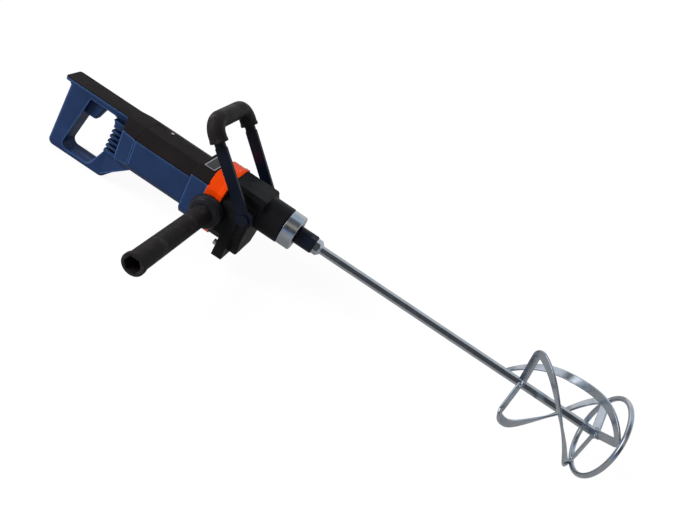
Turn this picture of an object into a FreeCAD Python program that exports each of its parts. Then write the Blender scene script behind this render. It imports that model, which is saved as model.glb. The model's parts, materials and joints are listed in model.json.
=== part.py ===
import FreeCAD, Part
import math
import os

# Hand-held mixing drill with its paddle. Millimetres. X runs forward along the spindle axis, Z is up (the bow
# side) and the side handle points to -Y. The origin is on the spindle axis, in the middle of the collar.

V = FreeCAD.Vector
os.makedirs("parts", exist_ok=True)

# Shared small sizes
OVERRUN = 4.0
RUN_FIT = 0.04
GAP = 0.5
SEAM = 0.8

# Gear case nose, collar and spindle
COLLAR_RADIUS = 28.5
COLLAR_LENGTH = 22.0
COLLAR_EDGE = 1.2
COLLAR_FACE = 3.0
NOSE_RADIUS = 24.0
NECK_RADIUS = 29.5
NECK_LENGTH = 36.0
NECK_EDGE = 1.0
SPINDLE_RADIUS = 10.0
SPINDLE_BORE_RADIUS = 13.0
SPINDLE_STUB_RADIUS = 4.5
STUB_BEARING_RADIUS = 12.0
STUB_BEARING_WIDTH = 7.0
NECK_BEARING_RADIUS = 23.5
NECK_BEARING_WIDTH = 14.0
SEAL_RADIUS = 17.0
SEAL_WIDTH = 6.0
CIRCLIP_RADIUS = 12.5
CIRCLIP_WIDTH = 1.5
COUPLING_RADIUS = 14.5
COUPLING_LENGTH = 31.0
COUPLING_EDGE = 1.5
COUPLING_THREAD_RADIUS = 7.0
COUPLING_FLAT = 12.5
COUPLING_FLAT_LENGTH = 11.0

# Gear case outline
LOBE_LENGTH = 21.0
LOBE_STEP = 6.0
PLATE_THICKNESS = 17.0
MIDDLE_LENGTH = 21.0
CASE_TOP_HALF = 24.0
CASE_TOP_Z = 30.5
CASE_BLOCK_HALF = 30.0
CASE_BLOCK_EDGE_Z = 25.0
CASE_SHOULDER_Z = 13.0
CASE_SIDE_HALF = 43.0
CASE_SIDE_Z = 3.0
LOBE_SIDE_LOW_Z = 44.0
LOBE_FLOOR_HALF = 26.0
LOBE_FLOOR_DEPTH = 80.0
LOBE_EDGE = 4.0
PLATE_HALF = 45.0
PLATE_TOP_Z = 8.0
PLATE_DEPTH = 92.0
PLATE_CORNER = 6.0
MIDDLE_DEPTH = 66.0
MIDDLE_FLOOR_HALF = 32.0
MIDDLE_SIDE_LOW_Z = 50.0

# Gear train: motor pinion to countershaft gear, countershaft pinion to spindle gear
MOTOR_DROP = 20.0
PRESSURE_ANGLE_DEG = 25.0
BACKLASH = 0.3
ADDENDUM_SHARE = 0.75
DEDENDUM_SHARE = 1.05
FAST_MODULE = 1.0
FAST_PINION_TEETH = 8
FAST_GEAR_TEETH = 36
FAST_GEAR_WIDTH = 9.0
SLOW_MODULE = 2.0
SLOW_PINION_TEETH = 10
SLOW_GEAR_TEETH = 24
SLOW_GEAR_WIDTH = 15.0
GEAR_ROOM = 1.2
PINION_EXTRA = 1.0
COUNTER_RADIUS = 5.0
COUNTER_STUB_RADIUS = 4.0
COUNTER_BEARING_RADIUS = 9.5
COUNTER_BEARING_WIDTH = 6.0

# Orange motor flange
FLANGE_LENGTH = 28.0
FLANGE_TOP_HALF = 22.0
FLANGE_TOP_Z = 30.5
FLANGE_SHOULDER_HALF = 31.0
FLANGE_SHOULDER_Z = 27.5
FLANGE_SIDE_Z = 9.0
FLANGE_LOW_Z = 50.0
FLANGE_FLOOR_HALF = 34.0
FLANGE_DEPTH = 67.0
FLANGE_LIP_LENGTH = 7.0
FLANGE_LIP_HEIGHT = 1.2
SOCKET_DROP = 23.0
SOCKET_AHEAD = 17.0
SOCKET_RADIUS = 5.0
SOCKET_DEPTH = 18.0
SOCKET_BOSS_RADIUS = 11.0
SOCKET_BOSS_HEIGHT = 4.0

# Motor housing: a front section against the flange and a longer rear section
FRONT_SECTION_LENGTH = 29.0
REAR_SECTION_LENGTH = 99.0
RIDGE_HALF = 17.0
RIDGE_Z = 17.5
EAVE_Z = 6.5
HOUSING_HALF = 40.0
HOUSING_LOW_Z = 43.0
HOUSING_FLOOR_HALF = 28.0
HOUSING_DEPTH = 57.0
FRONT_RIDGE_HALF = 25.0
FRONT_RIDGE_Z = 25.0
FRONT_EAVE_Z = 14.0
FRONT_STEP = 3.0
FRONT_LOW_Z = 50.0
FRONT_FLOOR_HALF = 32.0
FRONT_DEPTH = 66.0
COVER_THICKNESS = 3.5
HOUSING_BORE_RADIUS = 32.0
HOUSING_BACK_WALL = 8.0
LABEL_LENGTH = 18.0
LABEL_WIDTH = 44.0
LABEL_THICKNESS = 1.0
LABEL_CORNER = 2.0
LABEL_SHIFT = 2.0
COVER_SCREW_RADIUS = 2.6
COVER_SCREW_HEIGHT = 1.4
COVER_SCREW_SHANK = 1.5
COVER_SCREW_LENGTH = 6.0
COVER_SCREW_OFFSET = 11.0
COVER_SCREW_INSET = 28.0
COVER_STRIP_WIDTH = 9.0
COVER_STRIP_DEPTH = 0.8
COVER_STRIP_LENGTH = 16.0

# Motor
STATOR_LENGTH = 44.0
STATOR_BORE_RADIUS = 21.8
COIL_THICKNESS = 7.0
COIL_LENGTH = 9.0
COIL_ARC_DEG = 110.0
ROTOR_GAP = 0.6
ROTOR_SLOTS = 12
ROTOR_SLOT_WIDTH = 3.0
ROTOR_SLOT_DEPTH = 8.0
ROTOR_SHAFT_RADIUS = 5.0
WINDING_RADIUS = 18.5
WINDING_LENGTH = 10.0
COMMUTATOR_RADIUS = 12.5
COMMUTATOR_LENGTH = 15.0
COMMUTATOR_GAP = 3.0
COMMUTATOR_BARS = 24
COMMUTATOR_SLIT = 0.6
FAN_RADIUS = 29.0
FAN_LENGTH = 11.0
FAN_PLATE = 2.0
FAN_HUB_RADIUS = 9.0
FAN_BLADES = 11
FAN_BLADE_THICKNESS = 1.6
FAN_CLEARANCE = 4.0
ROTOR_FRONT_BEARING_RADIUS = 13.0
ROTOR_FRONT_BEARING_WIDTH = 8.0
ROTOR_BACK_BEARING_RADIUS = 11.0
ROTOR_BACK_BEARING_WIDTH = 7.0
ROTOR_BACK_RADIUS = 4.0
BRUSH_WIDTH = 7.0
BRUSH_HEIGHT = 10.0
BRUSH_LENGTH = 9.0
BRUSH_WALL = 1.5
BRUSH_GAP = 0.3
BRUSH_SPRING_RADIUS = 2.5

# Rear handle
CAP_LENGTH = 25.0
CAP_BACK_HALF = 37.0
CAP_ROOM_RADIUS = 30.0
ROOF_TAIL = 9.0
SHOULDER_HALF = 22.0
SHOULDER_TOP_Z = 2.0
CAP_WALL = 4.0
GRIP_HALF = 15.0
GRIP_WALL = 3.5
GRIP_EDGE = 7.0
OPENING_EDGE = 2.0
CORNER_STEP = 3.0
OPENING_CORNER = 10.0
PLATE_TAIL = 8.5
PLATE_TAIL_EDGE = 4.0
HORN_DEPTH = 12.0
HORN_HALF = 11.0
RIM_HEIGHT = 5.0
HANDLE_TOP_THICKNESS = 2.0
GRIP_TOP_BACK = 139.0
GRIP_BOTTOM_BACK = 154.0
GRIP_BOTTOM_DEPTH = 111.0
GRIP_TOE = 50.0
OPENING_TOP_BACK = 100.0
OPENING_TOP_FRONT = 47.0
OPENING_WAIST_FRONT = 53.0
OPENING_WAIST_DEPTH = 57.0
OPENING_LOW_FRONT = 74.0
GRIP_FLOOR = 10.0
OPENING_LOW_BACK = 129.0
OPENING_HEAD = 4.5
RIB_COUNT = 5
RIB_SLOT = 5.0
RIB_PITCH = 9.2
RIB_START = 10.0
RIB_DEPTH = 7.0
SEAM_GROOVE = 1.0
HANDLE_SCREW_RADIUS = 3.2
HANDLE_SCREW_SHANK = 1.9
HANDLE_SCREW_HEAD = 3.0
HANDLE_SCREW_SINK = 3.0
HANDLE_SCREW_REACH = 8.0
HANDLE_BOSS_RADIUS = 5.0
INLET_RADIUS = 6.5
INLET_BORE_RADIUS = 4.2
INLET_LENGTH = 10.0
INLET_BACK = 130.0

# Trigger and switch
TRIGGER_HALF = 7.0
TRIGGER_HEIGHT = 30.0
TRIGGER_REACH = 25.0
TRIGGER_LOW_REACH = 20.0
TRIGGER_HIDDEN = 9.0
TRIGGER_TRAVEL = 6.0
TRIGGER_EDGE = 3.0
TRIGGER_DROP = 1.0
SWITCH_SPRING_RADIUS = 2.6
SWITCH_SPRING_WALL = 0.9

# Bow handle
BOW_PIVOT_BACK = 14.0
BOW_TILT_DEG = 44.0
BOW_HEIGHT = 145.0
BOW_TUBE_RADIUS = 8.0
BOW_TUBE_BORE = 6.0
BOW_SLEEVE_RADIUS = 12.8
BOW_SLEEVE_COLLAR = 13.4
BOW_SLEEVE_COLLAR_LENGTH = 4.0
BOW_BEND = 19.0
BOW_LEG = 36.0
BOW_SLEEVE_LEG = 28.0
ARM_WIDTH = 18.0
ARM_THICKNESS = 6.0
ARM_EYE_RADIUS = 13.0
PIVOT_BOSS_RADIUS = 10.0
PIVOT_BOLT_RADIUS = 5.0
PIVOT_HEAD_RADIUS = 8.0
PIVOT_HEAD_HEIGHT = 3.0
PIVOT_BOLT_DEPTH = 10.0

# Side handle
SIDE_STUD_DEPTH = 16.0
SIDE_STUD_IN_GRIP = 22.0
SIDE_GUARD_RADIUS = 27.0
SIDE_GUARD_THICKNESS = 4.0
SIDE_GUARD_DOME = 13.0
SIDE_GUARD_NECK = 17.0
SIDE_GRIP_LENGTH = 186.0
SIDE_GRIP_RADIUS = 15.2
SIDE_LIP_RADIUS = 16.8
SIDE_LIP_LENGTH = 7.0
SIDE_HOLLOW_WIDTH = 22.0
SIDE_HOLLOW_DEPTH = 40.0

# Gear case screws
CASE_SCREW_RADIUS = 2.5
CASE_SCREW_HEAD_RADIUS = 4.6
CASE_SCREW_HEAD = 6.0
CASE_SCREW_INSET = 7.5
CASE_SCREW_RISE = 21.0
CASE_SCREW_TOP_DEPTH = 4.0
CASE_SCREW_LENGTH = 12.0

# Paddle
NUT_WIDTH = 22.0
NUT_LENGTH = 12.0
NUT_CHAMFER = 3.0
SHAFT_WIDTH = 12.0
SHAFT_LENGTH = 505.0
STUD_CLEARANCE = 0.05
STUD_LENGTH = 26.0
RING_RADIUS = 66.0
RING_WIRE_RADIUS = 4.0
HUB_TO_HUB = 133.0
BLADE_OUTER = 70.0
BLADE_WIDTH = 13.5
BLADE_THICKNESS = 4.0
BLADE_RISE = 14.0
BLADE_WAIST = 13.0
BLADE_LEAD = 10.0
BLADE_BEND = 11.0
BLADE_TURN_DEG = 175.0
BLADE_COUNT = 3
BLADE_SECTIONS = 15
BLADE_LOFT_DEGREE = 2
RING_JOINT_DEG = 24.0
LOW_HUB_INSET = 9.0
RING_AHEAD = 9.0

# Sizes that follow their neighbours
FLANGE_HALF = PLATE_HALF
FRONT_HALF = HOUSING_HALF + FRONT_STEP
OPENING_DEPTH = GRIP_BOTTOM_DEPTH - GRIP_FLOOR
GRIP_CORNER = GRIP_EDGE + CORNER_STEP
ROTOR_RADIUS = STATOR_BORE_RADIUS - ROTOR_GAP
SIDE_STUD_RADIUS = SOCKET_RADIUS
STUD_RADIUS = COUPLING_THREAD_RADIUS - STUD_CLEARANCE

# Stations along X, each one length behind or ahead of its neighbour
COLLAR_FRONT = COLLAR_LENGTH / 2
COLLAR_BACK = -COLLAR_LENGTH / 2
LOBE_FRONT = COLLAR_BACK - NECK_LENGTH
PLATE_FRONT = LOBE_FRONT - LOBE_LENGTH
PLATE_BACK = PLATE_FRONT - PLATE_THICKNESS
CASE_BACK = PLATE_BACK - MIDDLE_LENGTH
FLANGE_BACK = CASE_BACK - FLANGE_LENGTH
SECTION_STEP = FLANGE_BACK - FRONT_SECTION_LENGTH
HOUSING_BACK = SECTION_STEP - REAR_SECTION_LENGTH
CAP_BACK = HOUSING_BACK - CAP_LENGTH
COVER_SCREW_X = HOUSING_BACK + COVER_SCREW_INSET
NECK_BEARING_FRONT = LOBE_FRONT - SEAM
NECK_BEARING_BACK = NECK_BEARING_FRONT - NECK_BEARING_WIDTH
SLOW_FRONT = NECK_BEARING_BACK - CIRCLIP_WIDTH - GEAR_ROOM
SLOW_BACK = SLOW_FRONT - SLOW_GEAR_WIDTH
FAST_FRONT = PLATE_BACK - GEAR_ROOM - PINION_EXTRA
FAST_BACK = FAST_FRONT - FAST_GEAR_WIDTH
COUPLING_BACK = COLLAR_FRONT + GAP
COUPLING_FRONT = COUPLING_BACK + COUPLING_LENGTH
NUT_FRONT = COUPLING_FRONT + NUT_LENGTH
SHAFT_FRONT = NUT_FRONT + SHAFT_LENGTH
LOW_HUB = SHAFT_FRONT - LOW_HUB_INSET
TOP_HUB = LOW_HUB - HUB_TO_HUB
RING_X = LOW_HUB + RING_AHEAD
BLADE_START = TOP_HUB - BLADE_RISE
BLADE_END = RING_X - RING_WIRE_RADIUS

# Shaft centres in the YZ plane
SPINDLE_AT = (0.0, 0.0)
MOTOR_AT = (0.0, -MOTOR_DROP)
FAST_CENTRES = FAST_MODULE * (FAST_PINION_TEETH + FAST_GEAR_TEETH) / 2
SLOW_CENTRES = SLOW_MODULE * (SLOW_PINION_TEETH + SLOW_GEAR_TEETH) / 2
COUNTER_COS = (SLOW_CENTRES**2 + MOTOR_DROP**2 - FAST_CENTRES**2) / (2 * SLOW_CENTRES * MOTOR_DROP)
COUNTER_AT = (SLOW_CENTRES * math.sqrt(1 - COUNTER_COS**2), -SLOW_CENTRES * COUNTER_COS)


def box(x0, x1, y0, y1, z0, z1):
    return Part.makeBox(x1 - x0, y1 - y0, z1 - z0, V(x0, y0, z0))


def cyl_x(radius, x0, x1, at=SPINDLE_AT):
    return Part.makeCylinder(radius, x1 - x0, V(x0, at[0], at[1]), V(1, 0, 0))


def cyl_y(radius, y0, y1, x, z):
    return Part.makeCylinder(radius, y1 - y0, V(x, y0, z), V(0, 1, 0))


def cyl_z(radius, z0, z1, x, y):
    return Part.makeCylinder(radius, z1 - z0, V(x, y, z0), V(0, 0, 1))


def tube_x(outer, inner, x0, x1, at=SPINDLE_AT):
    return cyl_x(outer, x0, x1, at).cut(cyl_x(inner, x0 - OVERRUN, x1 + OVERRUN, at))


def fuse(shapes):
    return shapes[0].multiFuse(shapes[1:]).removeSplitter()


def face_of(points):
    return Part.Face(Part.makePolygon(points + points[:1]))


def prism_x(outline, x0, x1):
    """A prism along X over a list of (y, z) corners."""
    return face_of([V(x0, y, z) for y, z in outline]).extrude(V(x1 - x0, 0, 0))


def prism_y(outline, y0, y1):
    """A prism along Y over a list of (x, z) corners."""
    return face_of([V(x, y0, z) for x, z in outline]).extrude(V(0, y1 - y0, 0))


def both_sides(half):
    """Mirror the +Y half of an outline, listed from the top down, into a closed one."""
    return half + [(-y, z) for y, z in reversed(half)]


def rounded_face(corners, radii, place):
    """A flat face over corners whose points are rounded; place turns (a, b) into a point in space."""
    edges = []
    count = len(corners)
    last = None
    first = None
    for k in range(count):
        p = V(*corners[k], 0)
        back = (V(*corners[k - 1], 0) - p).normalize()
        ahead = (V(*corners[(k + 1) % count], 0) - p).normalize()
        half = back.getAngle(ahead) / 2
        reach = radii[k] / math.tan(half)
        start = p + back * reach
        end = p + ahead * reach
        bisector = (back + ahead).normalize()
        middle = p + bisector * (radii[k] / math.sin(half) - radii[k])
        if last is not None:
            edges.append(Part.makeLine(place(last.x, last.y), place(start.x, start.y)))
        else:
            first = start
        points = [place(q.x, q.y) for q in (start, middle, end)]
        edges.append(Part.Arc(*points).toShape())
        last = end
    edges.append(Part.makeLine(place(last.x, last.y), place(first.x, first.y)))
    return Part.Face(Part.Wire(edges))


def hex_x(width, x0, x1):
    """A hexagonal bar along the spindle axis, with a flat up."""
    corner = width / math.sqrt(3)
    turns = [math.pi * k / 3 for k in range(6)]
    return prism_x([(corner * math.cos(turn), corner * math.sin(turn)) for turn in turns], x0, x1)


def fillet_where(shape, radius, test):
    """Round the edges that pass a test."""
    return shape.makeFillet(radius, [edge for edge in shape.Edges if test(edge)])


def involute(angle):
    return math.tan(angle) - angle


def gear(teeth, module, x0, x1, at, tooth_angle):
    """A spur gear whose first tooth points along tooth_angle, measured from Y towards Z."""
    pitch = module * teeth / 2
    pressure = math.radians(PRESSURE_ANGLE_DEG)
    base = pitch * math.cos(pressure)
    tip = pitch + module * ADDENDUM_SHARE
    root = pitch - module * DEDENDUM_SHARE
    half = math.pi / (2 * teeth) - BACKLASH / (4 * pitch) + involute(pressure)
    low = max(base, root)
    shares = (0.0, 0.34, 0.67, 1.0)
    flank = [low + (tip - low) * share for share in shares]
    angles = [half - involute(math.acos(base / radius)) for radius in flank]
    side = [(root, angles[0])] + list(zip(flank, angles))
    outline = []
    for k in range(teeth):
        centre = tooth_angle + 2 * math.pi * k / teeth
        for radius, angle in [(r, -a) for r, a in side] + [(r, a) for r, a in reversed(side)]:
            turn = centre + angle
            outline.append((at[0] + radius * math.cos(turn), at[1] + radius * math.sin(turn)))
    return prism_x(outline, x0, x1)


def angle_to(start, end):
    return math.atan2(end[1] - start[1], end[0] - start[0])


def span(side, near, far):
    """The two Y limits of something between two distances from the middle, on one side."""
    return sorted((side * near, side * far))


def save(node, shape):
    shape.exportStep("parts/" + node + ".step")


# Gear case

def case_top_outline():
    """The narrow top block of the gear case."""
    half = [
        (CASE_TOP_HALF, CASE_TOP_Z),
        (CASE_BLOCK_HALF, CASE_BLOCK_EDGE_Z),
        (CASE_BLOCK_HALF, -CASE_SIDE_Z),
    ]
    return both_sides(half)


def lobe_outline():
    """The wide lower part of the gear case front."""
    half = [
        (CASE_BLOCK_HALF, CASE_SHOULDER_Z),
        (CASE_SIDE_HALF, CASE_SIDE_Z),
        (CASE_SIDE_HALF, -LOBE_SIDE_LOW_Z),
        (LOBE_FLOOR_HALF, -LOBE_FLOOR_DEPTH),
    ]
    return both_sides(half)


def case_middle_outline():
    half = [
        (CASE_TOP_HALF, CASE_TOP_Z),
        (CASE_BLOCK_HALF, CASE_BLOCK_EDGE_Z),
        (CASE_BLOCK_HALF, CASE_SHOULDER_Z),
        (CASE_SIDE_HALF, CASE_SIDE_Z),
        (CASE_SIDE_HALF, -MIDDLE_SIDE_LOW_Z),
        (MIDDLE_FLOOR_HALF, -MIDDLE_DEPTH),
    ]
    return both_sides(half)


def case_screw_places():
    """Two screws low on the plate's sides and two above its shoulders."""
    low = -PLATE_DEPTH + CASE_SCREW_RISE
    side = PLATE_HALF - CASE_SCREW_INSET
    return [(-side, low), (side, low), (-side, -CASE_SCREW_TOP_DEPTH), (side, -CASE_SCREW_TOP_DEPTH)]


def plate():
    """The thick flange plate that reaches below the gears."""
    half = [(PLATE_HALF, PLATE_TOP_Z), (PLATE_HALF, -PLATE_DEPTH)]
    corners = both_sides(half)
    face = rounded_face(corners, [PLATE_CORNER] * len(corners), lambda y, z: V(PLATE_BACK, y, z))
    return face.extrude(V(PLATE_THICKNESS, 0, 0))


PIVOT_X = LOBE_FRONT - BOW_PIVOT_BACK
ARM_INNER = PLATE_HALF + GAP
ARM_OUTER = ARM_INNER + ARM_THICKNESS
ARM_MIDDLE = (ARM_INNER + ARM_OUTER) / 2


def gear_case():
    block = prism_x(case_top_outline(), PLATE_BACK, LOBE_FRONT)
    block = fillet_where(block, LOBE_EDGE, lambda e: e.BoundBox.XMin > LOBE_FRONT - GAP)
    lobe_front = LOBE_FRONT - LOBE_STEP
    lobe = prism_x(lobe_outline(), PLATE_BACK, lobe_front)
    lobe = fillet_where(lobe, LOBE_EDGE, lambda e: e.BoundBox.XMin > lobe_front - GAP)
    neck = cyl_x(NECK_RADIUS, PLATE_BACK, COLLAR_BACK)
    neck = neck.makeChamfer(NECK_EDGE, [e for e in neck.Edges if e.BoundBox.XMin > COLLAR_BACK - GAP])
    nose = cyl_x(NOSE_RADIUS, PLATE_BACK, COLLAR_FRONT - COLLAR_FACE)
    body = fuse([block, lobe, plate(), neck, nose])
    slow_tip = SLOW_MODULE * (SLOW_GEAR_TEETH / 2 + ADDENDUM_SHARE) + GEAR_ROOM
    pinion_tip = SLOW_MODULE * (SLOW_PINION_TEETH / 2 + ADDENDUM_SHARE) + GEAR_ROOM
    cavity_front = SLOW_FRONT + GEAR_ROOM
    cuts = [
        cyl_x(slow_tip, PLATE_BACK - OVERRUN, cavity_front),
        cyl_x(pinion_tip, PLATE_BACK - OVERRUN, cavity_front, COUNTER_AT),
        cyl_x(NECK_BEARING_RADIUS, PLATE_BACK - OVERRUN, NECK_BEARING_FRONT),
        cyl_x(COUNTER_BEARING_RADIUS, PLATE_BACK - OVERRUN, cavity_front + COUNTER_BEARING_WIDTH, COUNTER_AT),
        cyl_x(SPINDLE_BORE_RADIUS, NECK_BEARING_FRONT - OVERRUN, COLLAR_FRONT + OVERRUN),
        cyl_x(SEAL_RADIUS, COLLAR_FRONT - SEAL_WIDTH, COLLAR_FRONT + OVERRUN),
    ]
    for y, z in case_screw_places():
        cuts.append(cyl_x(CASE_SCREW_RADIUS, PLATE_BACK - OVERRUN, PLATE_BACK + CASE_SCREW_LENGTH, (y, z)))
    for side in (-1, 1):
        low, high = span(side, CASE_SIDE_HALF - PIVOT_BOLT_DEPTH, PLATE_HALF)
        body = body.fuse(cyl_y(PIVOT_BOSS_RADIUS, low, high, PIVOT_X, 0))
        low, high = span(side, PLATE_HALF - PIVOT_BOLT_DEPTH, PLATE_HALF + OVERRUN)
        cuts.append(cyl_y(PIVOT_BOLT_RADIUS, low, high, PIVOT_X, 0))
    return body.removeSplitter().cut(cuts)


def gear_case_middle():
    """The spacer between plate and motor flange, around the fast gears."""
    body = prism_x(case_middle_outline(), CASE_BACK, PLATE_BACK)
    fast_tip = FAST_MODULE * (FAST_GEAR_TEETH / 2 + ADDENDUM_SHARE) + GEAR_ROOM
    pinion_tip = FAST_MODULE * (FAST_PINION_TEETH / 2 + ADDENDUM_SHARE) + GEAR_ROOM
    cuts = [
        cyl_x(fast_tip, CASE_BACK - OVERRUN, PLATE_BACK + OVERRUN, COUNTER_AT),
        cyl_x(pinion_tip, CASE_BACK - OVERRUN, PLATE_BACK + OVERRUN, MOTOR_AT),
        cyl_x(SPINDLE_BORE_RADIUS, CASE_BACK - OVERRUN, PLATE_BACK + OVERRUN),
    ]
    heads = [cyl_x(CASE_SCREW_HEAD_RADIUS + GAP, CASE_BACK - OVERRUN, PLATE_BACK + OVERRUN, at)
             for at in case_screw_places()]
    return body.cut(cuts + heads)


def case_screws():
    screws = []
    for at in case_screw_places():
        shank = cyl_x(CASE_SCREW_RADIUS, PLATE_BACK, PLATE_BACK + CASE_SCREW_LENGTH, at)
        head = cyl_x(CASE_SCREW_HEAD_RADIUS, PLATE_BACK - CASE_SCREW_HEAD, PLATE_BACK, at)
        screws.append(shank.fuse(head).removeSplitter())
    return Part.makeCompound(screws)


def clamping_collar():
    """The clamping ring on the nose, closed in front down to the seal."""
    ring = cyl_x(COLLAR_RADIUS, COLLAR_BACK, COLLAR_FRONT)
    ring = ring.makeChamfer(COLLAR_EDGE, [e for e in ring.Edges if e.BoundBox.XLength < COLLAR_EDGE])
    return ring.cut([
        cyl_x(NOSE_RADIUS, COLLAR_BACK - OVERRUN, COLLAR_FRONT - COLLAR_FACE),
        cyl_x(SEAL_RADIUS, COLLAR_BACK - OVERRUN, COLLAR_FRONT + OVERRUN),
    ])


# Spindle, countershaft and gears

def spindle():
    front = cyl_x(SPINDLE_RADIUS, SLOW_BACK - CIRCLIP_WIDTH, COUPLING_BACK)
    stub = cyl_x(SPINDLE_STUB_RADIUS, CASE_BACK - STUB_BEARING_WIDTH, SLOW_BACK)
    return front.fuse(stub).removeSplitter()


def spindle_seal():
    return tube_x(SEAL_RADIUS, SPINDLE_RADIUS + RUN_FIT, COLLAR_FRONT - SEAL_WIDTH, COLLAR_FRONT)


def spindle_gear():
    tooth_angle = angle_to(SPINDLE_AT, COUNTER_AT)
    blank = gear(SLOW_GEAR_TEETH, SLOW_MODULE, SLOW_BACK, SLOW_FRONT, SPINDLE_AT, tooth_angle)
    return blank.cut(cyl_x(SPINDLE_RADIUS, SLOW_BACK - OVERRUN, SLOW_FRONT + OVERRUN))


def spindle_coupling():
    body = cyl_x(COUPLING_RADIUS, COUPLING_BACK, COUPLING_FRONT)
    body = body.makeChamfer(COUPLING_EDGE, [e for e in body.Edges if e.BoundBox.XLength < COUPLING_EDGE])
    for side in (-1, 1):
        low, high = span(side, COUPLING_FLAT, COUPLING_RADIUS + OVERRUN)
        back = COUPLING_FRONT - COUPLING_FLAT_LENGTH
        front = COUPLING_FRONT - COUPLING_EDGE
        body = body.cut(box(back, front, -COUPLING_RADIUS, COUPLING_RADIUS, low, high))
    return body.cut(cyl_x(COUPLING_THREAD_RADIUS, COUPLING_FRONT - STUD_LENGTH, COUPLING_FRONT + OVERRUN))


def countershaft():
    back = CASE_BACK - COUNTER_BEARING_WIDTH
    front = SLOW_FRONT + GEAR_ROOM + COUNTER_BEARING_WIDTH
    shoulder = SLOW_FRONT + GEAR_ROOM - PINION_EXTRA / 2
    body = cyl_x(COUNTER_RADIUS, CASE_BACK + PINION_EXTRA, shoulder, COUNTER_AT)
    return body.fuse(cyl_x(COUNTER_STUB_RADIUS, back, front, COUNTER_AT)).removeSplitter()


def countershaft_gear():
    tooth_angle = angle_to(COUNTER_AT, MOTOR_AT)
    blank = gear(FAST_GEAR_TEETH, FAST_MODULE, FAST_BACK, FAST_FRONT, COUNTER_AT, tooth_angle)
    return blank.cut(cyl_x(COUNTER_RADIUS, FAST_BACK - OVERRUN, FAST_FRONT + OVERRUN, COUNTER_AT))


def countershaft_pinion():
    gap_angle = angle_to(COUNTER_AT, SPINDLE_AT)
    blank = gear(SLOW_PINION_TEETH, SLOW_MODULE, SLOW_BACK - PINION_EXTRA, SLOW_FRONT, COUNTER_AT,
                 gap_angle + math.pi / SLOW_PINION_TEETH)
    return blank.cut(cyl_x(COUNTER_RADIUS, SLOW_BACK - OVERRUN, SLOW_FRONT + OVERRUN, COUNTER_AT))


def motor_pinion():
    gap_angle = angle_to(MOTOR_AT, COUNTER_AT)
    tooth_angle = gap_angle + math.pi / FAST_PINION_TEETH
    return gear(FAST_PINION_TEETH, FAST_MODULE, FAST_BACK - PINION_EXTRA, FAST_FRONT, MOTOR_AT, tooth_angle)


# Motor flange

def flange_outline(grow):
    side = FLANGE_HALF - FLANGE_LIP_HEIGHT + grow
    half = [
        (FLANGE_TOP_HALF, FLANGE_TOP_Z + grow),
        (FLANGE_SHOULDER_HALF, FLANGE_SHOULDER_Z + grow),
        (side, FLANGE_SIDE_Z),
        (side, -FLANGE_LOW_Z),
        (FLANGE_FLOOR_HALF, -FLANGE_DEPTH),
    ]
    return both_sides(half)


SOCKET_X = FLANGE_BACK + SOCKET_AHEAD
SOCKET_FACE = FLANGE_HALF + SOCKET_BOSS_HEIGHT


def motor_flange():
    body = prism_x(flange_outline(0.0), FLANGE_BACK, CASE_BACK)
    lip = prism_x(flange_outline(FLANGE_LIP_HEIGHT), CASE_BACK - FLANGE_LIP_LENGTH, CASE_BACK)
    bosses = cyl_y(SOCKET_BOSS_RADIUS, -SOCKET_FACE, SOCKET_FACE, SOCKET_X, -SOCKET_DROP)
    body = fuse([body, lip, bosses])
    bearing_front = FLANGE_BACK + ROTOR_FRONT_BEARING_WIDTH
    cuts = [
        cyl_x(ROTOR_FRONT_BEARING_RADIUS, FLANGE_BACK - OVERRUN, bearing_front, MOTOR_AT),
        cyl_x(ROTOR_SHAFT_RADIUS + GAP, FLANGE_BACK - OVERRUN, CASE_BACK + OVERRUN, MOTOR_AT),
        cyl_x(STUB_BEARING_RADIUS, CASE_BACK - STUB_BEARING_WIDTH, CASE_BACK + OVERRUN),
        cyl_x(COUNTER_BEARING_RADIUS, CASE_BACK - COUNTER_BEARING_WIDTH, CASE_BACK + OVERRUN, COUNTER_AT),
        cyl_y(SOCKET_RADIUS, SOCKET_FACE - SOCKET_DEPTH, SOCKET_FACE + OVERRUN, SOCKET_X, -SOCKET_DROP),
        cyl_y(SOCKET_RADIUS, -SOCKET_FACE - OVERRUN, -SOCKET_FACE + SOCKET_DEPTH, SOCKET_X, -SOCKET_DROP),
    ]
    return body.cut(cuts)


# Motor housing

def roof(ridge_half, ridge_z, side_half, eave_z):
    return [(ridge_half, ridge_z), (side_half, eave_z)]


def roof_shell(line, x0, x1):
    """A roof cover: the roof line and the same line one thickness lower."""
    over = [(-y, z) for y, z in reversed(line)] + line
    under = [(y, z - COVER_THICKNESS) for y, z in reversed(over)]
    return prism_x(over + under, x0, x1)


def section(line, low_z, floor_half, depth, x0, x1):
    """A housing section under its roof cover."""
    half = [(y, z - COVER_THICKNESS) for y, z in line]
    half += [(line[1][0], -low_z), (floor_half, -depth)]
    return prism_x(both_sides(half), x0, x1)


REAR_ROOF = roof(RIDGE_HALF, RIDGE_Z, HOUSING_HALF, EAVE_Z)
FRONT_ROOF = roof(FRONT_RIDGE_HALF, FRONT_RIDGE_Z, FRONT_HALF, FRONT_EAVE_Z)


def seam_groove(solid, x):
    """Bevel the rim of an end face, so that two mouldings meet in a groove."""
    rim = [e for e in solid.Edges if e.BoundBox.XLength < GAP and abs(e.BoundBox.XMin - x) < GAP]
    return solid.makeChamfer(SEAM_GROOVE, rim)


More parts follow.
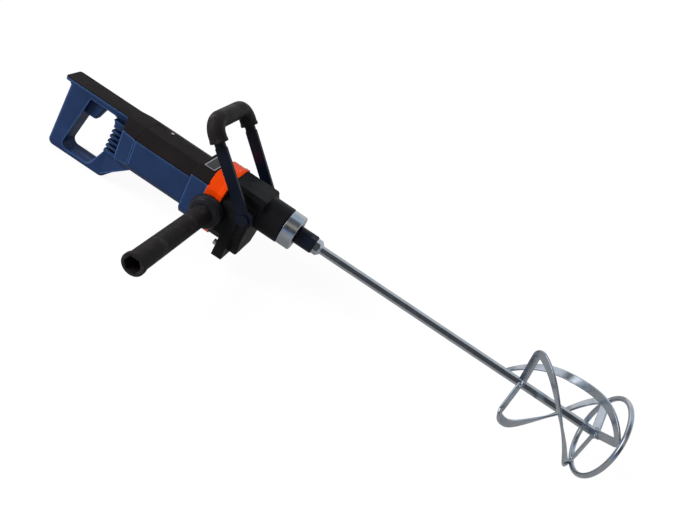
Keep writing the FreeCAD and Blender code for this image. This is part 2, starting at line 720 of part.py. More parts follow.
def motor_housing():
    rear = section(REAR_ROOF, HOUSING_LOW_Z, HOUSING_FLOOR_HALF, HOUSING_DEPTH, HOUSING_BACK, SECTION_STEP)
    front = section(FRONT_ROOF, FRONT_LOW_Z, FRONT_FLOOR_HALF, FRONT_DEPTH, SECTION_STEP, FLANGE_BACK)
    rear = seam_groove(rear, HOUSING_BACK)
    body = rear.fuse(front).removeSplitter()
    wall = HOUSING_BACK + HOUSING_BACK_WALL
    cuts = [
        cyl_x(HOUSING_BORE_RADIUS, wall, FLANGE_BACK + OVERRUN, MOTOR_AT),
        cyl_x(ROTOR_BACK_BEARING_RADIUS, HOUSING_BACK - OVERRUN, wall + OVERRUN, MOTOR_AT),
        cover_screw_hole(),
    ]
    return body.cut(cuts)


def cover_screw_hole():
    """The cover's one screw is near its rear end, off the middle line."""
    low_z = RIDGE_Z - COVER_SCREW_LENGTH
    return cyl_z(COVER_SCREW_SHANK, low_z, RIDGE_Z + OVERRUN, COVER_SCREW_X, COVER_SCREW_OFFSET)


def motor_top_cover():
    rear = roof_shell(REAR_ROOF, HOUSING_BACK, SECTION_STEP)
    strip_low = COVER_SCREW_OFFSET - COVER_STRIP_WIDTH / 2
    strip_high = COVER_SCREW_OFFSET + COVER_STRIP_WIDTH / 2
    strip = box(HOUSING_BACK - OVERRUN, HOUSING_BACK + COVER_STRIP_LENGTH, strip_low, strip_high,
                RIDGE_Z - COVER_STRIP_DEPTH, RIDGE_Z + OVERRUN)
    return rear.cut([strip, cover_screw_hole()])


def motor_front_cover():
    return roof_shell(FRONT_ROOF, SECTION_STEP, FLANGE_BACK)


def cover_screw():
    low_z = RIDGE_Z - COVER_SCREW_LENGTH
    head_z = RIDGE_Z + COVER_SCREW_HEIGHT
    shank = cyl_z(COVER_SCREW_SHANK, low_z, RIDGE_Z, COVER_SCREW_X, COVER_SCREW_OFFSET)
    head = cyl_z(COVER_SCREW_RADIUS, RIDGE_Z, head_z, COVER_SCREW_X, COVER_SCREW_OFFSET)
    return fuse([shank, head])


def label_plate():
    """A bare plate on the front section's flat top."""
    middle = (SECTION_STEP + FLANGE_BACK) / 2
    x0 = middle - LABEL_LENGTH / 2
    x1 = middle + LABEL_LENGTH / 2
    y0 = -LABEL_SHIFT - LABEL_WIDTH / 2
    y1 = -LABEL_SHIFT + LABEL_WIDTH / 2
    corners = [(x0, y0), (x1, y0), (x1, y1), (x0, y1)]
    face = rounded_face(corners, [LABEL_CORNER] * len(corners), lambda x, y: V(x, y, FRONT_RIDGE_Z))
    return face.extrude(V(0, 0, LABEL_THICKNESS))


# Motor

FAN_FRONT = FLANGE_BACK - FAN_CLEARANCE
FAN_BACK = FAN_FRONT - FAN_LENGTH
CORE_FRONT = FAN_BACK - FAN_CLEARANCE - WINDING_LENGTH
CORE_BACK = CORE_FRONT - STATOR_LENGTH
COMMUTATOR_FRONT = CORE_BACK - WINDING_LENGTH - COMMUTATOR_GAP
COMMUTATOR_BACK = COMMUTATOR_FRONT - COMMUTATOR_LENGTH
BRUSH_X = (COMMUTATOR_FRONT + COMMUTATOR_BACK) / 2
BACK_BEARING_FRONT = HOUSING_BACK + HOUSING_BACK_WALL
BACK_BEARING_BACK = BACK_BEARING_FRONT - ROTOR_BACK_BEARING_WIDTH


def wedge(centre_deg, x0, x1):
    """A wedge around the motor axis that covers a coil's arc."""
    outline = [MOTOR_AT]
    steps = 4
    for k in range(steps + 1):
        angle = math.radians(centre_deg + COIL_ARC_DEG * (k / steps - 1 / 2))
        reach = 2 * HOUSING_BORE_RADIUS
        outline.append((MOTOR_AT[0] + reach * math.cos(angle), MOTOR_AT[1] + reach * math.sin(angle)))
    return prism_x(outline, x0, x1)


def field_coil(centre_deg):
    inner = STATOR_BORE_RADIUS + (HOUSING_BORE_RADIUS - STATOR_BORE_RADIUS - COIL_THICKNESS) / 2
    x0 = CORE_BACK - COIL_LENGTH
    x1 = CORE_FRONT + COIL_LENGTH
    return tube_x(inner + COIL_THICKNESS, inner, x0, x1, MOTOR_AT).common(wedge(centre_deg, x0, x1))


def field_coils():
    return Part.makeCompound([field_coil(centre) for centre in (90, 270)])


def stator_core():
    ring = tube_x(HOUSING_BORE_RADIUS, STATOR_BORE_RADIUS, CORE_BACK, CORE_FRONT, MOTOR_AT)
    return ring.cut([field_coil(centre) for centre in (90, 270)])


def rotor_shaft():
    back = cyl_x(ROTOR_BACK_RADIUS, BACK_BEARING_BACK, CORE_BACK, MOTOR_AT)
    main = cyl_x(ROTOR_SHAFT_RADIUS, BACK_BEARING_FRONT + GAP, FAST_BACK - PINION_EXTRA, MOTOR_AT)
    return fuse([back, main, motor_pinion()])


def rotor_core():
    core = tube_x(ROTOR_RADIUS, ROTOR_SHAFT_RADIUS, CORE_BACK, CORE_FRONT, MOTOR_AT)
    slot = box(CORE_BACK - OVERRUN, CORE_FRONT + OVERRUN, -ROTOR_SLOT_WIDTH / 2, ROTOR_SLOT_WIDTH / 2,
               ROTOR_RADIUS - ROTOR_SLOT_DEPTH, ROTOR_RADIUS + OVERRUN)
    cuts = []
    for k in range(ROTOR_SLOTS):
        turned = slot.copy()
        turned.rotate(V(0, 0, 0), V(1, 0, 0), 360 * k / ROTOR_SLOTS)
        turned.translate(V(0, MOTOR_AT[0], MOTOR_AT[1]))
        cuts.append(turned)
    return core.cut(cuts)


def rotor_windings():
    heads = [(CORE_BACK - WINDING_LENGTH, CORE_BACK), (CORE_FRONT, CORE_FRONT + WINDING_LENGTH)]
    rings = [tube_x(WINDING_RADIUS, ROTOR_SHAFT_RADIUS, x0, x1, MOTOR_AT) for x0, x1 in heads]
    rounded = []
    for ring in rings:
        rims = [e for e in ring.Edges if e.BoundBox.XLength < GAP and e.BoundBox.YMax > WINDING_RADIUS - GAP]
        rounded.append(ring.makeFillet(WINDING_LENGTH / 3, rims))
    return Part.makeCompound(rounded)


def commutator():
    drum = tube_x(COMMUTATOR_RADIUS, ROTOR_SHAFT_RADIUS, COMMUTATOR_BACK, COMMUTATOR_FRONT, MOTOR_AT)
    half = COMMUTATOR_SLIT / 2
    slit = box(COMMUTATOR_BACK - OVERRUN, COMMUTATOR_FRONT + OVERRUN, -half, half,
               COMMUTATOR_RADIUS - COMMUTATOR_SLIT, COMMUTATOR_RADIUS + OVERRUN)
    cuts = []
    for k in range(COMMUTATOR_BARS):
        turned = slit.copy()
        turned.rotate(V(0, 0, 0), V(1, 0, 0), 360 * k / COMMUTATOR_BARS)
        turned.translate(V(0, MOTOR_AT[0], MOTOR_AT[1]))
        cuts.append(turned)
    return drum.cut(cuts)


def cooling_fan():
    disc = cyl_x(FAN_RADIUS, FAN_BACK, FAN_BACK + FAN_PLATE, MOTOR_AT)
    hub = cyl_x(FAN_HUB_RADIUS, FAN_BACK, FAN_FRONT, MOTOR_AT)
    pieces = [disc, hub]
    blade = box(FAN_BACK, FAN_FRONT, -FAN_BLADE_THICKNESS / 2, FAN_BLADE_THICKNESS / 2,
                FAN_HUB_RADIUS - FAN_BLADE_THICKNESS, FAN_RADIUS - FAN_BLADE_THICKNESS)
    for k in range(FAN_BLADES):
        turned = blade.copy()
        turned.rotate(V(0, 0, 0), V(1, 0, 0), 360 * k / FAN_BLADES)
        turned.translate(V(0, MOTOR_AT[0], MOTOR_AT[1]))
        pieces.append(turned)
    return fuse(pieces).cut(cyl_x(ROTOR_SHAFT_RADIUS, FAN_BACK - OVERRUN, FAN_FRONT + OVERRUN, MOTOR_AT))


BRUSH_FOOT = COMMUTATOR_RADIUS + BRUSH_GAP
BRUSH_TAIL = BRUSH_FOOT + BRUSH_LENGTH
HOLDER_FOOT = BRUSH_FOOT + BRUSH_WALL
HOLDER_CAP = HOUSING_BORE_RADIUS - 2 * BRUSH_WALL


def block_at(length, height, side, near, far, x, z):
    low, high = span(side, near, far)
    return box(x - length / 2, x + length / 2, low, high, z - height / 2, z + height / 2)


def brush_holders():
    holders = []
    for side in (-1, 1):
        outer = block_at(BRUSH_WIDTH + 2 * BRUSH_WALL, BRUSH_HEIGHT + 2 * BRUSH_WALL, side, HOLDER_FOOT,
                         HOUSING_BORE_RADIUS, BRUSH_X, -MOTOR_DROP)
        channel = block_at(BRUSH_WIDTH, BRUSH_HEIGHT, side, HOLDER_FOOT - OVERRUN, HOLDER_CAP, BRUSH_X,
                           -MOTOR_DROP)
        room = cyl_x(HOUSING_BORE_RADIUS, COMMUTATOR_BACK - OVERRUN, COMMUTATOR_FRONT + OVERRUN, MOTOR_AT)
        holders.append(outer.cut(channel).common(room))
    return Part.makeCompound(holders)


def carbon_brushes():
    brushes = []
    for side in (-1, 1):
        brush = block_at(BRUSH_WIDTH, BRUSH_HEIGHT, side, BRUSH_FOOT, BRUSH_TAIL, BRUSH_X, -MOTOR_DROP)
        brushes.append(brush)
    return Part.makeCompound(brushes)


def brush_springs():
    springs = []
    for side in (-1, 1):
        low, high = span(side, BRUSH_TAIL, HOLDER_CAP)
        springs.append(cyl_y(BRUSH_SPRING_RADIUS, low, high, BRUSH_X, -MOTOR_DROP))
    return Part.makeCompound(springs)


def bearing(outer, bore, x0, x1, at):
    return tube_x(outer, bore + RUN_FIT, x0, x1, at)


# Rear handle

def behind(distance):
    """X of something a distance behind the housing's rear face."""
    return HOUSING_BACK - distance


GRIP_TOP_Z = RIDGE_Z - HANDLE_TOP_THICKNESS
PLATE_END = behind(GRIP_TOP_BACK + PLATE_TAIL)


def in_side_view(x, z):
    return V(x, -GRIP_HALF, z)


def loop_face():
    corners = [
        (behind(CAP_WALL), GRIP_TOP_Z),
        (behind(GRIP_TOP_BACK), GRIP_TOP_Z),
        (behind(GRIP_BOTTOM_BACK), -GRIP_BOTTOM_DEPTH),
        (behind(GRIP_TOE), -GRIP_BOTTOM_DEPTH),
        (behind(CAP_WALL), -HOUSING_DEPTH),
    ]
    radii = [OPENING_EDGE, OPENING_EDGE, GRIP_CORNER, GRIP_CORNER, OPENING_EDGE]
    return rounded_face(corners, radii, in_side_view)


def opening_face():
    corners = [
        (behind(OPENING_TOP_BACK), OPENING_HEAD),
        (behind(OPENING_TOP_FRONT), OPENING_HEAD),
        (behind(OPENING_WAIST_FRONT), -OPENING_WAIST_DEPTH),
        (behind(OPENING_LOW_FRONT), -OPENING_DEPTH),
        (behind(OPENING_LOW_BACK), -OPENING_DEPTH),
    ]
    radii = [OPENING_EDGE, OPENING_CORNER, OPENING_CORNER, OPENING_CORNER, OPENING_CORNER]
    return rounded_face(corners, radii, in_side_view)


def plan(stations):
    """A tall prism over a plan outline, given as (x, half width) from front to rear."""
    outline = [(x, half) for x, half in stations] + [(x, -half) for x, half in reversed(stations)]
    face = face_of([V(x, y, -2 * GRIP_BOTTOM_DEPTH) for x, y in outline])
    return face.extrude(V(0, 0, 4 * GRIP_BOTTOM_DEPTH))


def cap_plan():
    return plan([(HOUSING_BACK, HOUSING_HALF), (CAP_BACK, CAP_BACK_HALF)])


def cap_shoulder():
    """The narrower block behind the end cap that carries the air slots."""
    return box(behind(OPENING_WAIST_FRONT), CAP_BACK, -SHOULDER_HALF, SHOULDER_HALF,
               -OPENING_WAIST_DEPTH, SHOULDER_TOP_Z)


def cap_gusset():
    """The flare from the end cap's floor down into the grip's lower arm."""
    outline = [
        (HOUSING_BACK, -HOUSING_LOW_Z),
        (HOUSING_BACK, -HOUSING_DEPTH),
        (behind(GRIP_TOE), -GRIP_BOTTOM_DEPTH + GRIP_EDGE),
        (behind(GRIP_TOE), -HOUSING_LOW_Z),
    ]
    side = prism_y(outline, -HOUSING_HALF, HOUSING_HALF)
    return side.common(plan([(HOUSING_BACK, HOUSING_FLOOR_HALF), (behind(GRIP_TOE), GRIP_HALF)]))


def grip_horn():
    """The tail of the grip under its top cover."""
    outline = [
        (behind(GRIP_TOP_BACK) + HORN_DEPTH, GRIP_TOP_Z),
        (PLATE_END, GRIP_TOP_Z),
        (behind(GRIP_TOP_BACK), GRIP_TOP_Z - HORN_DEPTH),
        (behind(GRIP_TOP_BACK) + HORN_DEPTH, GRIP_TOP_Z - HORN_DEPTH),
    ]
    return prism_y(outline, -HORN_HALF, HORN_HALF)


def plate_bar(x0, x1, low_z, high_z):
    """A bar as wide as the top cover's plate, with its two rear corners rounded."""
    bar = box(x0, x1, -RIDGE_HALF, RIDGE_HALF, low_z, high_z)
    return fillet_where(bar, PLATE_TAIL_EDGE, lambda e: e.BoundBox.ZLength > GAP
                        and e.BoundBox.XMax < x0 + GAP)


def grip_rim():
    """The rounded rim that carries the top cover's plate."""
    low_z = GRIP_TOP_Z - RIM_HEIGHT
    rim = plate_bar(PLATE_END, CAP_BACK, low_z, GRIP_TOP_Z)
    return fillet_where(rim, RIDGE_HALF - GRIP_HALF, lambda e: e.BoundBox.ZMax < low_z + GAP
                        and e.BoundBox.XMin < CAP_BACK - GAP)


def loop_screw_places():
    """Screw axes of the two halves, in side view."""
    grip_x = (behind(GRIP_TOP_BACK) + behind(OPENING_TOP_BACK)) / 2
    return [
        (grip_x - HANDLE_BOSS_RADIUS, -OPENING_WAIST_DEPTH),
        (behind(GRIP_TOE), -OPENING_DEPTH + 3 * HANDLE_BOSS_RADIUS),
        (behind(OPENING_LOW_BACK) - 3 * HANDLE_BOSS_RADIUS, -OPENING_DEPTH + HANDLE_BOSS_RADIUS),
    ]


def wall_x(z):
    """X of the grip's front wall at a height."""
    share = (OPENING_HEAD - z) / (OPENING_HEAD + OPENING_DEPTH)
    return behind(OPENING_TOP_BACK + (OPENING_LOW_BACK - OPENING_TOP_BACK) * share)


def handle_cavity():
    outer = loop_face().makeOffset2D(-GRIP_WALL)
    inner = opening_face().makeOffset2D(GRIP_WALL)
    depth = V(0, 2 * (GRIP_HALF - GRIP_WALL), 0)
    outer.translate(V(0, GRIP_WALL, 0))
    inner.translate(V(0, GRIP_WALL, 0))
    room = outer.extrude(depth).cut(inner.extrude(depth))
    room = room.cut([cyl_y(HANDLE_BOSS_RADIUS, -GRIP_HALF, GRIP_HALF, x, z) for x, z in loop_screw_places()])
    return room


TRIGGER_TOP = OPENING_HEAD - TRIGGER_DROP
TRIGGER_LOW = TRIGGER_TOP - TRIGGER_HEIGHT


def trigger_hole():
    outline = [
        (wall_x(TRIGGER_TOP) + OVERRUN, TRIGGER_TOP + GAP),
        (wall_x(TRIGGER_TOP) - GRIP_WALL - OVERRUN, TRIGGER_TOP + GAP),
        (wall_x(TRIGGER_LOW) - GRIP_WALL - OVERRUN, TRIGGER_LOW - GAP),
        (wall_x(TRIGGER_LOW) + OVERRUN, TRIGGER_LOW - GAP),
    ]
    return prism_y(outline, -TRIGGER_HALF - GAP, TRIGGER_HALF + GAP)


def intake_slots():
    slots = []
    for k in range(RIB_COUNT):
        top = -RIB_START - RIB_PITCH * k
        for side in (-1, 1):
            low, high = span(side, GRIP_HALF - RIB_DEPTH, HOUSING_HALF + OVERRUN)
            slots.append(box(behind(OPENING_LOW_FRONT), CAP_BACK, low, high, top - RIB_SLOT, top))
    return slots


def handle_body():
    loop = loop_face().extrude(V(0, 2 * GRIP_HALF, 0))
    loop = fillet_where(loop, GRIP_EDGE, lambda e: e.BoundBox.YLength < GAP
                        and e.BoundBox.ZMax < GRIP_TOP_Z - GAP
                        and e.BoundBox.XMax < HOUSING_BACK - CAP_WALL - GAP)
    cap = section(REAR_ROOF, HOUSING_LOW_Z, HOUSING_FLOOR_HALF, HOUSING_DEPTH, CAP_BACK, HOUSING_BACK)
    cap = seam_groove(cap, HOUSING_BACK).common(cap_plan())
    body = fuse([loop, cap, cap_shoulder(), cap_gusset(), grip_horn(), grip_rim()])
    opening = opening_face()
    opening.translate(V(0, GRIP_HALF - HOUSING_HALF, 0))
    opening = opening.extrude(V(0, 2 * HOUSING_HALF, 0))
    cap_room = cyl_x(CAP_ROOM_RADIUS, CAP_BACK + CAP_WALL, HOUSING_BACK + OVERRUN, MOTOR_AT)
    return body.cut([opening, handle_top_cover(), cap_room, handle_cavity(), trigger_hole()] + intake_slots())


def handle_half(body, side):
    low, high = span(side, 0, 2 * HOUSING_HALF)
    room = box(behind(2 * GRIP_BOTTOM_BACK), HOUSING_BACK, low, high, -2 * GRIP_BOTTOM_DEPTH, RIDGE_Z)
    half = body.common(room)
    cuts = []
    for x, z in loop_screw_places():
        head_y = GRIP_HALF - HANDLE_SCREW_SINK - HANDLE_SCREW_HEAD
        cuts.append(cyl_y(HANDLE_SCREW_SHANK, -HANDLE_SCREW_REACH, GRIP_HALF + OVERRUN, x, z))
        cuts.append(cyl_y(HANDLE_SCREW_RADIUS, head_y, GRIP_HALF + OVERRUN, x, z))
    x, y, z0, z1 = inlet_place()
    cuts.append(cyl_z(INLET_RADIUS, z0, z1, x, y))
    return half.cut(cuts)


def inlet_place():
    """Centre and height range of the cord inlet in the floor of the grip."""
    return behind(INLET_BACK), 0.0, -GRIP_BOTTOM_DEPTH, -GRIP_BOTTOM_DEPTH + INLET_LENGTH


def cord_inlet():
    x, y, z0, z1 = inlet_place()
    return cyl_z(INLET_RADIUS, z0, z1, x, y).cut(cyl_z(INLET_BORE_RADIUS, z0 - OVERRUN, z1 + OVERRUN, x, y))


def handle_screws():
    screws = []
    for x, z in loop_screw_places():
        head_y = GRIP_HALF - HANDLE_SCREW_SINK - HANDLE_SCREW_HEAD
        shank = cyl_y(HANDLE_SCREW_SHANK, -HANDLE_SCREW_REACH, head_y, x, z)
        head = cyl_y(HANDLE_SCREW_RADIUS, head_y, head_y + HANDLE_SCREW_HEAD, x, z)
        screws.append(shank.fuse(head).removeSplitter())
    return Part.makeCompound(screws)


def handle_top_cover():
    """The dark plate along the grip, widening into the roof of the end cap."""
    bar = plate_bar(PLATE_END, CAP_BACK, GRIP_TOP_Z, RIDGE_Z)
    stations = [(HOUSING_BACK, HOUSING_HALF), (CAP_BACK, CAP_BACK_HALF), (CAP_BACK - ROOF_TAIL, RIDGE_HALF)]
    cap_roof = roof_shell(REAR_ROOF, CAP_BACK - ROOF_TAIL, HOUSING_BACK).common(plan(stations))
    return fuse([bar, cap_roof])


# Trigger

def trigger():
    outline = [
        (wall_x(TRIGGER_TOP) - TRIGGER_HIDDEN, TRIGGER_TOP),
        (wall_x(TRIGGER_TOP) + TRIGGER_REACH, TRIGGER_TOP),
        (wall_x(TRIGGER_LOW) + TRIGGER_LOW_REACH, TRIGGER_LOW),
        (wall_x(TRIGGER_LOW) - TRIGGER_HIDDEN, TRIGGER_LOW),
    ]
    body = prism_y(outline, -TRIGGER_HALF, TRIGGER_HALF)
    front = wall_x(TRIGGER_LOW) + TRIGGER_LOW_REACH - GAP
    return fillet_where(body, TRIGGER_EDGE, lambda e: e.BoundBox.XMin > front and e.BoundBox.ZLength > GAP)


TRIGGER_MIDDLE = (TRIGGER_TOP + TRIGGER_LOW) / 2
SWITCH_FRONT = wall_x(TRIGGER_LOW) - TRIGGER_HIDDEN - TRIGGER_TRAVEL - GAP


def switch_module():
    block = box(behind(2 * GRIP_BOTTOM_BACK), SWITCH_FRONT, -GRIP_HALF, GRIP_HALF, TRIGGER_LOW, TRIGGER_TOP)
    return block.common(handle_cavity())


def trigger_spring():
    back = wall_x(TRIGGER_MIDDLE) - TRIGGER_HIDDEN
    return tube_x(SWITCH_SPRING_RADIUS, SWITCH_SPRING_RADIUS - SWITCH_SPRING_WALL, SWITCH_FRONT, back - SEAM,
                  (0.0, TRIGGER_MIDDLE))


# Bow handle, built upright over its pivot and then tilted back

def tilt(shape):
    moved = shape.copy()
    moved.rotate(V(0, 0, 0), V(0, 1, 0), -BOW_TILT_DEG)
    moved.translate(V(PIVOT_X, 0, 0))
    return moved


def bow_arm(side):
    low, high = span(side, ARM_INNER, ARM_OUTER)
    bar = box(-ARM_WIDTH / 2, ARM_WIDTH / 2, low, high, 0, BOW_HEIGHT - BOW_LEG)
    eye = cyl_y(ARM_EYE_RADIUS, low, high, 0, 0)
    arm = bar.fuse(eye).removeSplitter()
    hole = cyl_y(PIVOT_BOLT_RADIUS + RUN_FIT, low - OVERRUN, high + OVERRUN, 0, 0)
    return tilt(arm.cut(hole))


def bow_path(leg):
    """The U-shaped centre line of the cross tube, from one leg's end to the other's."""
    low = BOW_HEIGHT - leg
    top = BOW_HEIGHT
    bend = BOW_HEIGHT - BOW_BEND
    inner = ARM_MIDDLE - BOW_BEND
    corner = BOW_BEND * (1 - math.sqrt(1 / 2))
    outer = ARM_MIDDLE - corner
    edges = [
        Part.makeLine(V(0, -ARM_MIDDLE, low), V(0, -ARM_MIDDLE, bend)),
        Part.Arc(V(0, -ARM_MIDDLE, bend), V(0, -outer, top - corner), V(0, -inner, top)).toShape(),
        Part.makeLine(V(0, -inner, top), V(0, inner, top)),
        Part.Arc(V(0, inner, top), V(0, outer, top - corner), V(0, ARM_MIDDLE, bend)).toShape(),
        Part.makeLine(V(0, ARM_MIDDLE, bend), V(0, ARM_MIDDLE, low)),
    ]
    return Part.Wire(edges)


def bow_rod(radius, leg):
    ring = Part.Wire(Part.makeCircle(radius, V(0, -ARM_MIDDLE, BOW_HEIGHT - leg), V(0, 0, 1)))
    return bow_path(leg).makePipeShell([ring], True, False)


def bow_cross_tube():
    return tilt(bow_rod(BOW_TUBE_RADIUS, BOW_LEG).cut(bow_rod(BOW_TUBE_BORE, BOW_LEG)))


def bow_grip_sleeve():
    collars = []
    for side in (-1, 1):
        collars.append(cyl_z(BOW_SLEEVE_COLLAR, BOW_HEIGHT - BOW_SLEEVE_LEG,
                             BOW_HEIGHT - BOW_SLEEVE_LEG + BOW_SLEEVE_COLLAR_LENGTH, 0, side * ARM_MIDDLE))
    sleeve = fuse([bow_rod(BOW_SLEEVE_RADIUS, BOW_SLEEVE_LEG)] + collars)
    return tilt(sleeve.cut(bow_rod(BOW_TUBE_RADIUS, BOW_LEG)))


def pivot_bolts():
    bolts = []
    for side in (-1, 1):
        low, high = span(side, PLATE_HALF - PIVOT_BOLT_DEPTH, ARM_OUTER + GAP)
        shank = cyl_y(PIVOT_BOLT_RADIUS, low, high, PIVOT_X, 0)
        low, high = span(side, ARM_OUTER + GAP, ARM_OUTER + GAP + PIVOT_HEAD_HEIGHT)
        bolts.append(shank.fuse(cyl_y(PIVOT_HEAD_RADIUS, low, high, PIVOT_X, 0)).removeSplitter())
    return Part.makeCompound(bolts)


# Side handle

GUARD_FACE = SOCKET_FACE + SIDE_GUARD_THICKNESS
GRIP_START = GUARD_FACE + SIDE_GUARD_DOME
GRIP_END = SOCKET_FACE + SIDE_GRIP_LENGTH


def turned_y(profile):
    """A solid of revolution about the side handle's axis, over (distance from the middle, radius) points."""
    points = [V(SOCKET_X, -y, -SOCKET_DROP + r) for y, r in profile]
    axis = V(SOCKET_X, 0, -SOCKET_DROP)
    return face_of(points).revolve(axis, V(0, 1, 0), 360)


def side_handle_stud():
    outer = -SOCKET_FACE - SIDE_STUD_IN_GRIP
    return cyl_y(SIDE_STUD_RADIUS, outer, -SOCKET_FACE + SIDE_STUD_DEPTH, SOCKET_X, -SOCKET_DROP)


def side_handle_guard():
    steps = 6
    profile = [(SOCKET_FACE, 0), (SOCKET_FACE, SIDE_GUARD_RADIUS), (GUARD_FACE, SIDE_GUARD_RADIUS)]
    for k in range(1, steps + 1):
        share = k / steps
        fall = math.sqrt(1 - share**2)
        profile.append((GUARD_FACE + SIDE_GUARD_DOME * share,
                        SIDE_GUARD_NECK + (SIDE_GUARD_RADIUS - SIDE_GUARD_NECK) * fall))
    profile.append((GRIP_START, 0))
    return turned_y(profile).cut(side_handle_stud())


def side_handle_grip():
    body = cyl_y(SIDE_GRIP_RADIUS, -GRIP_END, -GRIP_START, SOCKET_X, -SOCKET_DROP)
    lip = cyl_y(SIDE_LIP_RADIUS, -GRIP_END, -GRIP_END + SIDE_LIP_LENGTH, SOCKET_X, -SOCKET_DROP)
    lip = lip.makeFillet(COLLAR_EDGE, [e for e in lip.Edges if e.BoundBox.YLength < GAP])
    corner = SIDE_HOLLOW_WIDTH / math.sqrt(3)
    turns = [math.pi * k / 3 for k in range(6)]
    outline = [(SOCKET_X + corner * math.cos(turn), -SOCKET_DROP + corner * math.sin(turn)) for turn in turns]
    hollow = prism_y(outline, -GRIP_END - OVERRUN, -GRIP_END + SIDE_HOLLOW_DEPTH)
    return fuse([body, lip]).cut([hollow, side_handle_stud()])


# Paddle

def paddle_shaft():
    bar = hex_x(SHAFT_WIDTH, NUT_FRONT, SHAFT_FRONT)
    stud = cyl_x(STUD_RADIUS, COUPLING_FRONT - STUD_LENGTH + GAP, NUT_FRONT)
    return bar.fuse(stud).removeSplitter()


def paddle_nut():
    """The nut against the coupling, turned down towards the shaft."""
    tip = NUT_WIDTH / 2 - NUT_CHAMFER
    cone = Part.makeCone(tip + NUT_LENGTH, tip, NUT_LENGTH, V(COUPLING_FRONT, 0, 0), V(1, 0, 0))
    nut = hex_x(NUT_WIDTH, COUPLING_FRONT, NUT_FRONT).common(cone)
    return nut.cut(cyl_x(STUD_RADIUS, COUPLING_FRONT - OVERRUN, NUT_FRONT + OVERRUN))


def paddle_ring():
    return Part.makeTorus(RING_RADIUS, RING_WIRE_RADIUS, V(RING_X, 0, 0), V(1, 0, 0))


def around(radius, angle, x):
    return V(x, radius * math.cos(angle), radius * math.sin(angle))


def joint_angle(k):
    return math.radians(RING_JOINT_DEG + 360 * k / BLADE_COUNT)


BLADE_MEAN = BLADE_OUTER - BLADE_WIDTH / 2
BLADE_SPAN = BLADE_END - BLADE_START
BLADE_TURN = math.radians(BLADE_TURN_DEG)
BLADE_STEEPNESS = math.atan2(BLADE_MEAN * BLADE_TURN, BLADE_SPAN)
BLADE_LENGTH = math.hypot(BLADE_MEAN * BLADE_TURN, BLADE_SPAN)


def strip_section(centre, length_way, normal):
    """A blade strip's cross section, square to the way the strip runs."""
    across = normal.normalize() * (BLADE_THICKNESS / 2)
    side = length_way.cross(normal).normalize() * (BLADE_WIDTH / 2)
    corners = [centre + side + across, centre - side + across, centre - side - across, centre + side - across]
    return Part.makePolygon(corners + corners[:1])


def strip_path():
    """Centre line of a strip as (way along the helix, radius): out along a spoke, round a bend, along the
    helix, and back in to the shaft the same way."""
    spoke_shares = (0.0, 0.35, 0.7)
    bend_degrees = (0, 22.5, 45, 67.5)
    start = [(0.0, (BLADE_MEAN - BLADE_BEND) * share) for share in spoke_shares]
    for degrees in bend_degrees:
        turn = math.radians(degrees)
        start.append((BLADE_BEND * (1 - math.cos(turn)), BLADE_MEAN - BLADE_BEND * (1 - math.sin(turn))))
    helix = []
    for step in range(BLADE_SECTIONS):
        along = BLADE_BEND + (BLADE_LENGTH - 2 * BLADE_BEND) * step / (BLADE_SECTIONS - 1)
        waist = math.sin(math.pi * step / (BLADE_SECTIONS - 1))
        helix.append((along, BLADE_MEAN - BLADE_WAIST * waist**2))
    end = [(BLADE_LENGTH - along, radius) for along, radius in reversed(start)]
    return start + helix + end


def strip_point(k, along, radius):
    """A point of strip k in space. The spokes lean from their hubs to the ends of the helix."""
    share = along / BLADE_LENGTH
    angle = joint_angle(k) - BLADE_TURN + BLADE_TURN * share
    x = BLADE_START + BLADE_SPAN * share + BLADE_LEAD * math.sin(math.pi * share)
    inward = 1 - radius / BLADE_MEAN
    lean = (TOP_HUB - BLADE_START) if along < BLADE_LENGTH / 2 else (LOW_HUB - BLADE_END)
    at_spoke = along < BLADE_BEND or along > BLADE_LENGTH - BLADE_BEND
    return around(radius, angle, x + lean * inward * at_spoke), angle


def paddle_blade(k, others):
    path = [strip_point(k, along, radius) for along, radius in strip_path()]
    wires = []
    for step, (point, angle) in enumerate(path):
        before = path[max(step - 1, 0)][0]
        after = path[min(step + 1, len(path) - 1)][0]
        turn = V(0, -math.sin(angle), math.cos(angle))
        run = V(math.cos(BLADE_STEEPNESS), 0, 0) + turn * math.sin(BLADE_STEEPNESS)
        normal = run.cross(V(0, math.cos(angle), math.sin(angle)))
        length_way = after - before
        normal = normal - length_way * (normal.dot(length_way) / length_way.dot(length_way))
        wires.append(strip_section(point, length_way, normal))
    return Part.makeLoft(wires, True, False, False, BLADE_LOFT_DEGREE).cut(others)


